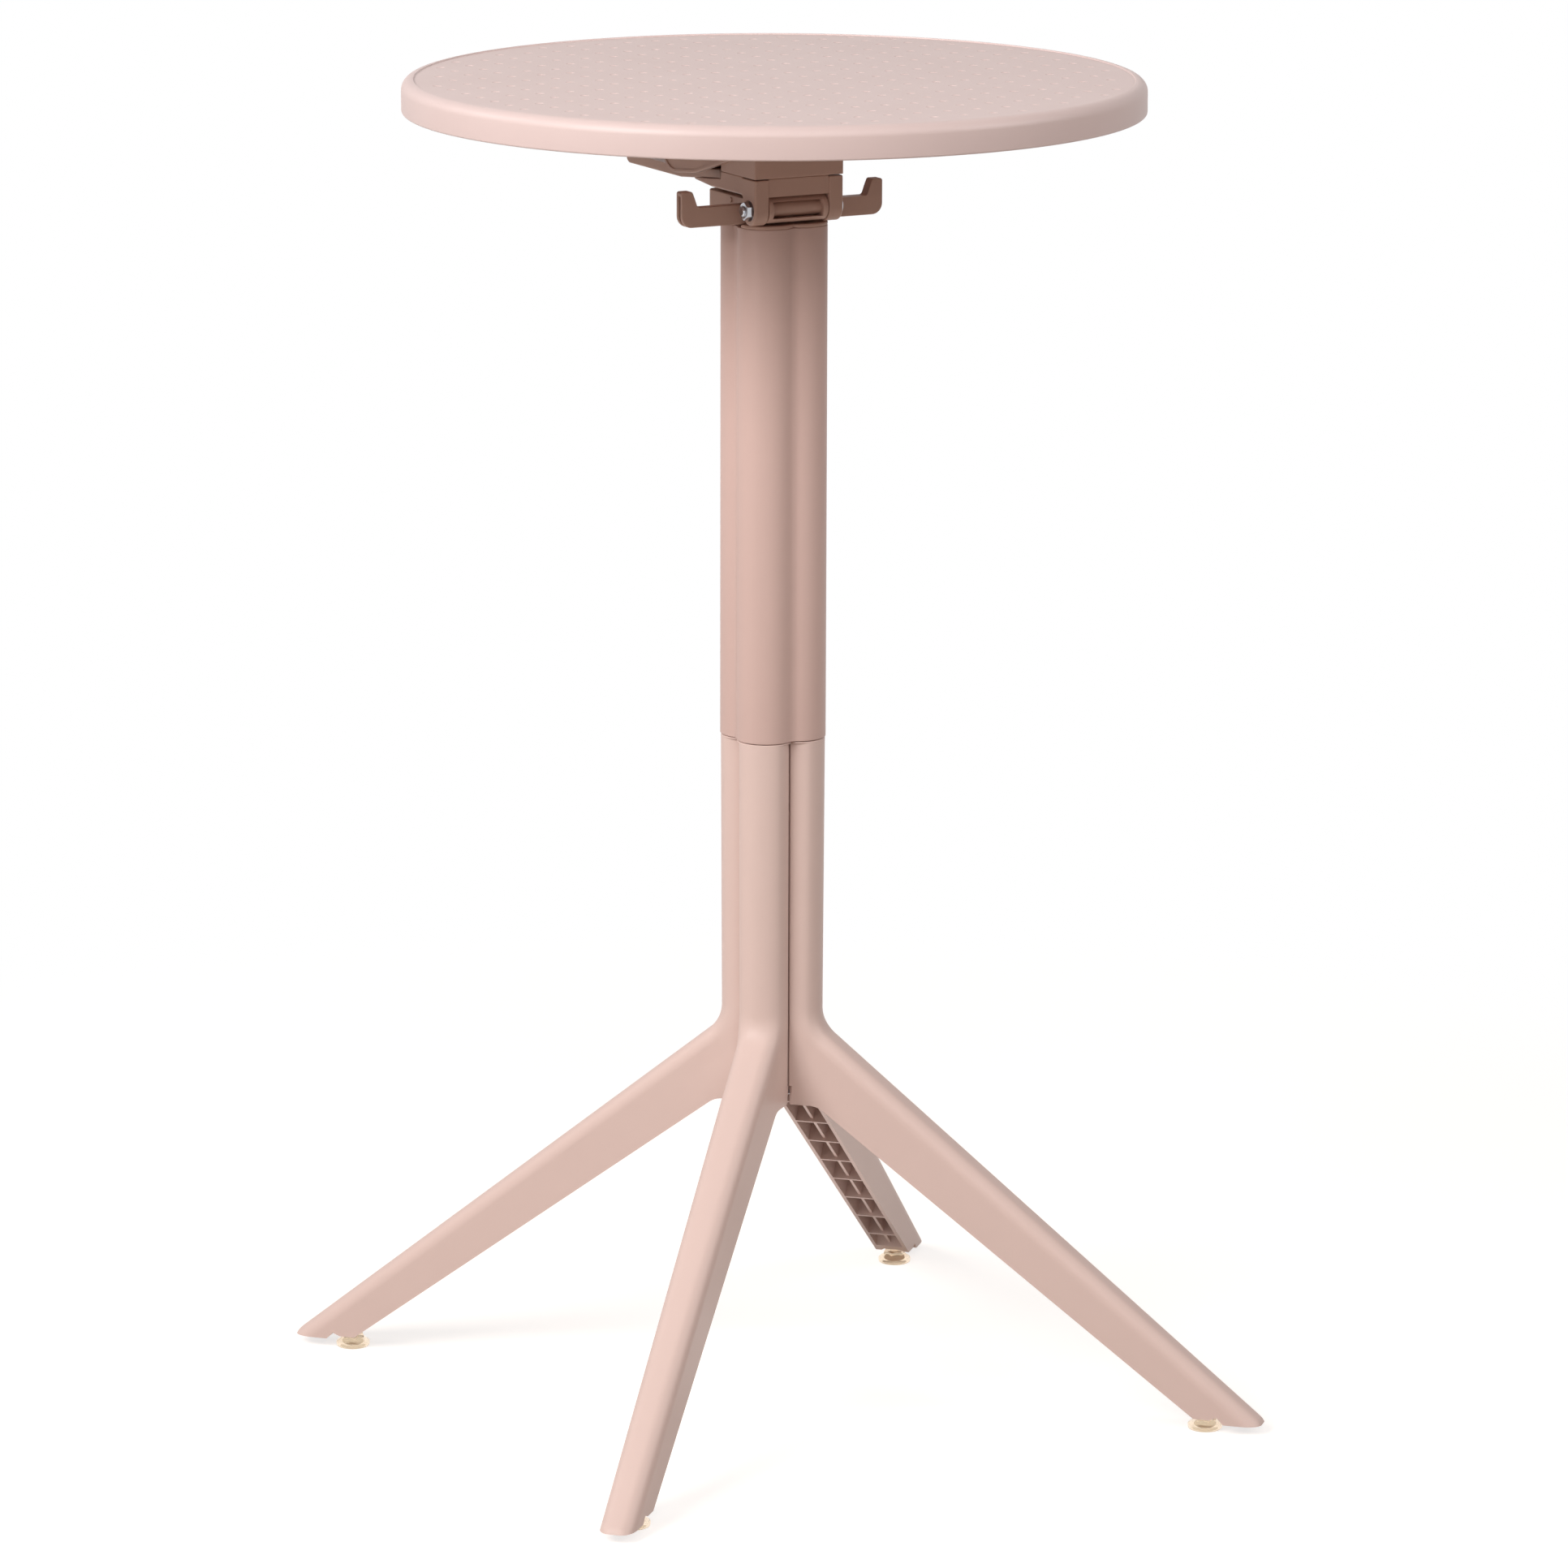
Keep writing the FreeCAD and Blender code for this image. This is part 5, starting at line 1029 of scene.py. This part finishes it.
def make_hinge_bolt():
    bolt_low, bolt_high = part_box("pivot_bolt")
    nut_low, nut_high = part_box("pivot_nut")
    washer_low, washer_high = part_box("pivot_washers")
    shank = BOLT_RADIUS - BOLT_SLACK
    grip = washer_high.x - bolt_low.x
    profile = [(0, 0), (BOLT_RADIUS - BOLT_CHAMFER, 0), (shank, BOLT_CHAMFER), (shank, grip), (0, grip)]
    bolt = moved(turned_mesh("hinge_bolt", profile, BOLT_STEPS), along_hinge(bolt_low.x))
    thread = moved(threaded("bolt_thread", BOLT_THREAD, THREAD_LENGTH),
                   along_hinge(bolt_low.x + THREAD_START))
    head = moved(hexagon("bolt_head", HEX_CORNER, 0, bolt_high.x - washer_high.x), along_hinge(washer_high.x))
    mesh = smoothed(tidied(merged("hinge_bolt", [bolt, thread, head])))
    finished("hinge_bolt", mesh, ZINC, "top", "pivot_bolt")
    height = nut_high.x - nut_low.x
    nut = drilled(hexagon("hinge_nut", HEX_CORNER, 0, height), BOLT_RADIUS, 0, height)
    mesh = smoothed(tidied(moved(nut, along_hinge(nut_low.x))))
    finished("hinge_nut", mesh, ZINC, "top", "pivot_nut")
    ring = plain_washer(BOLT_RADIUS + HOLE_GAP, (washer_high.z - washer_low.z) / 2, WASHER_THICKNESS)
    pair = merged("hinge_washers", [moved(ring, along_hinge(place))
                                    for place in (washer_low.x, washer_high.x - WASHER_THICKNESS)])
    finished("hinge_washers", smoothed(tidied(pair)), ZINC, "top", "pivot_washers")


def make_head_screws():
    make_screws("bracket_screws", "carrier_screws", BOSS_PLACES)
    low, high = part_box("yoke_screws")
    make_screws("hinge_block_screws", "yoke_screws", [
        (across, along) for across in (low.x + SCREW_HEAD, high.x - SCREW_HEAD)
        for along in (low.y + SCREW_HEAD, high.y - SCREW_HEAD)])
    low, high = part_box("spring_screw")
    make_screws("leaf_screw", "spring_screw", [tuple(low.lerp(high, 0.5).xy)])


def make_rod_ends():
    low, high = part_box("base_nut")
    nut = drilled(hexagon("rod_nut", HEX_CORNER, low.z, high.z), BOLT_RADIUS, low.z, high.z)
    finished("rod_nut", smoothed(tidied(nut)), ZINC, "stand", "base_nut")
    low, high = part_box("base_clamp")
    plate = moved(plain_washer(BOLT_RADIUS + HOLE_GAP, high.x, high.z - low.z),
                  Matrix.Translation((0, 0, low.z)))
    finished("clamp_plate", smoothed(tidied(plate)), ZINC, "stand", "base_clamp")


# Leaf spring
LEAF_HALF = 7 * MM
LEAF_THICKNESS = 0.8 * MM
LEAF_SEAT_END = 45 * MM
LEAF_TIP_ROUND = 4 * MM
LEAF_HOLE = 2.3 * MM
LEAF_SEAT_SECTIONS = 5
LEAF_BEND_SECTIONS = 31


def make_leaf_spring():
    """A strip whose seat stays on the bracket, and whose free end is bent down towards the lever."""
    low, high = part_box("lever_spring")
    seat = high.z - LEAF_THICKNESS
    rings = []
    for along in np.concatenate([np.linspace(low.y, LEAF_SEAT_END, LEAF_SEAT_SECTIONS),
                                 np.linspace(LEAF_SEAT_END, high.y, LEAF_BEND_SECTIONS)[1:]]):
        share = max(along - LEAF_SEAT_END, 0) / (high.y - LEAF_SEAT_END)
        below = seat - (seat - low.z) * (share + share ** 2) / 2
        beyond = max(along - high.y + LEAF_TIP_ROUND, 0)
        half = LEAF_HALF - LEAF_TIP_ROUND + math.sqrt(max(LEAF_TIP_ROUND ** 2 - beyond ** 2, 0))
        rings.append([(across, along, up) for across, up in (
            (-half, below), (half, below), (half, below + LEAF_THICKNESS), (-half, below + LEAF_THICKNESS))])
    middle = (low.y + LEAF_SEAT_END) / 2
    hole = bar("leaf_hole", (0, middle), LEAF_HOLE, seat - FUSE, high.z + FUSE, SCREW_STEPS)
    mesh = smoothed(tidied(carved(lofted("leaf_spring", rings), [hole])))
    piece = dressed("leaf_spring", mesh, SPRING_STEEL, "lever_spring")
    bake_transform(piece)


def dress_nodes(finish, *nodes):
    """Give construction meshes that stay in view their finish."""
    for node in nodes:
        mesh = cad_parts[node].data
        mesh.materials.clear()
        mesh.materials.append(finish)


make_tabletop()
make_upper_column()
make_legs()
make_feet()
make_head_pieces()
make_hinge_bolt()
make_head_screws()
make_rod_ends()
make_leaf_spring()
dress_nodes(ZINC, "tie_rod", "head_washer", "head_nut", "lever_pin")
# The pivot sleeve takes the resin with painted shade too
dress_nodes(SHADED_RESIN_HEAD, "pivot_sleeve")
dress_nodes(RUBBER, "rest_pads")
dress_nodes(BRASS, *["foot_insert_" + side for side in LEG_TURNS])


# Stage: a pale floor that fades into white, soft lamps and the camera
CAMERA_PLACE = Vector((-2.582, -4.854, 1.785))
CAMERA_TARGET = Vector((0, 0, 0.531))
CAMERA_LENS = 160.2
CAMERA_SENSOR = 36
CAMERA_SHIFT = (0.00715, -0.01675)
CAMERA_ROLL = math.radians(0.14)
FLOOR_RADII = (60, 3, 0)
FLOOR_GLOW = 0.72
FLOOR_COLOUR = (0.5, 0.45, 0.41, 1)
FADE_START = 0.7
FADE_END = 1.6
SKY_LIGHT = 0.15
SKY_COLOUR = (1, 0.9, 0.84, 1)
# Each lamp's name, place, aim, width and power in watts
LAMPS = [
    ("left_softbox", (-3.6, -1.0, 3.1), (0, 0, 0.6), 2.3, 158),
    ("front_softbox", (-1.3, -4.4, 4.6), (0, 0, 0.5), 4.2, 112),
    ("right_softbox", (3.2, -2.9, 3.1), (0, 0, 0.5), 2.0, 56),
    ("rear_softbox", (-3.2, 2.6, 3.0), (0, 0, 0.9), 1.6, 36),
    ("low_softbox", (-3.8, -1.6, 1.2), (0, 0, 0.98), 1.2, 6),
    ("floor_bounce", (0.06, 0.06, 0.004), (0.06, 0.06, 1), 0.3, 0.16)]


def seen_share(tree):
    """One for the rays that show the background in the picture, in metal and in glass, and else zero."""
    path = add_node(tree, "ShaderNodeLightPath")
    return sum_node(tree, "MAXIMUM", path.outputs["Is Camera Ray"], sum_node(
        tree, "MAXIMUM", path.outputs["Is Glossy Ray"], path.outputs["Is Transmission Ray"]))


def floor_finish():
    """Pale floor that takes the table's shadow, and turns to plain white further out."""
    material = bpy.data.materials.new("studio_floor")
    material.use_nodes = True
    tree = material.node_tree
    tree.nodes.clear()
    seen = seen_share(tree)
    place = add_node(tree, "ShaderNodeTexCoord")
    far = add_node(tree, "ShaderNodeVectorMath", {"operation": "LENGTH"}, {0: place.outputs["Object"]})
    fade = add_node(tree, "ShaderNodeMapRange", {"interpolation_type": "SMOOTHSTEP"}, {
        "Value": far.outputs["Value"], "From Min": FADE_START, "From Max": FADE_END})
    pale = add_node(tree, "ShaderNodeBsdfDiffuse", inputs={"Color": FLOOR_COLOUR})
    glow = add_node(tree, "ShaderNodeEmission", inputs={
        "Strength": sum_node(tree, "MULTIPLY", seen, FLOOR_GLOW)})
    near = add_node(tree, "ShaderNodeAddShader", inputs={0: pale.outputs[0], 1: glow.outputs[0]})
    white = add_node(tree, "ShaderNodeEmission", inputs={"Strength": 1.0})
    mixed = add_node(tree, "ShaderNodeMixShader", inputs={
        0: sum_node(tree, "MULTIPLY", fade.outputs[0], seen), 1: near.outputs[0], 2: white.outputs[0]})
    end = add_node(tree, "ShaderNodeOutputMaterial")
    tree.links.new(mixed.outputs[0], end.inputs["Surface"])
    return material


def make_stage():
    floor = plain_object("studio_floor", mesh_from("studio_floor", *turned(
        [(radius, 0) for radius in FLOOR_RADII], BORE_STEPS)))
    floor.data.materials.append(floor_finish())
    world = bpy.data.worlds.new("studio")
    scene.world = world
    world.use_nodes = True
    tree = world.node_tree
    seen = seen_share(tree)
    level = add_node(tree, "ShaderNodeMix", {"data_type": "FLOAT"}, {"Factor": seen, 2: SKY_LIGHT, 3: 1.0})
    colour = add_node(tree, "ShaderNodeMix", {"data_type": "RGBA"}, {
        "Factor": seen, 6: SKY_COLOUR, 7: (1, 1, 1, 1)})
    tree.links.new(colour.outputs[2], tree.nodes["Background"].inputs["Color"])
    tree.links.new(level.outputs[0], tree.nodes["Background"].inputs["Strength"])


def make_lamp(name, place, aim, size, power):
    lamp = bpy.data.lights.new(name, "AREA")
    lamp.shape = "DISK"
    lamp.size = size
    lamp.energy = power
    item = bpy.data.objects.new(name, lamp)
    scene.collection.objects.link(item)
    item.location = place
    item.rotation_euler = (Vector(aim) - Vector(place)).to_track_quat("-Z", "Y").to_euler()


def make_camera():
    camera = bpy.data.cameras.new("photo_view")
    camera.lens = CAMERA_LENS
    camera.sensor_width = CAMERA_SENSOR
    camera.shift_x, camera.shift_y = CAMERA_SHIFT
    item = bpy.data.objects.new("photo_view", camera)
    scene.collection.objects.link(item)
    item.location = CAMERA_PLACE
    look = (CAMERA_TARGET - CAMERA_PLACE).to_track_quat("-Z", "Y").to_matrix()
    item.rotation_euler = (look @ Matrix.Rotation(CAMERA_ROLL, 3, "Z")).to_euler()
    scene.camera = item


make_stage()
for lamp in LAMPS:
    make_lamp(*lamp)
make_camera()
scene.view_settings.view_transform = "Standard"
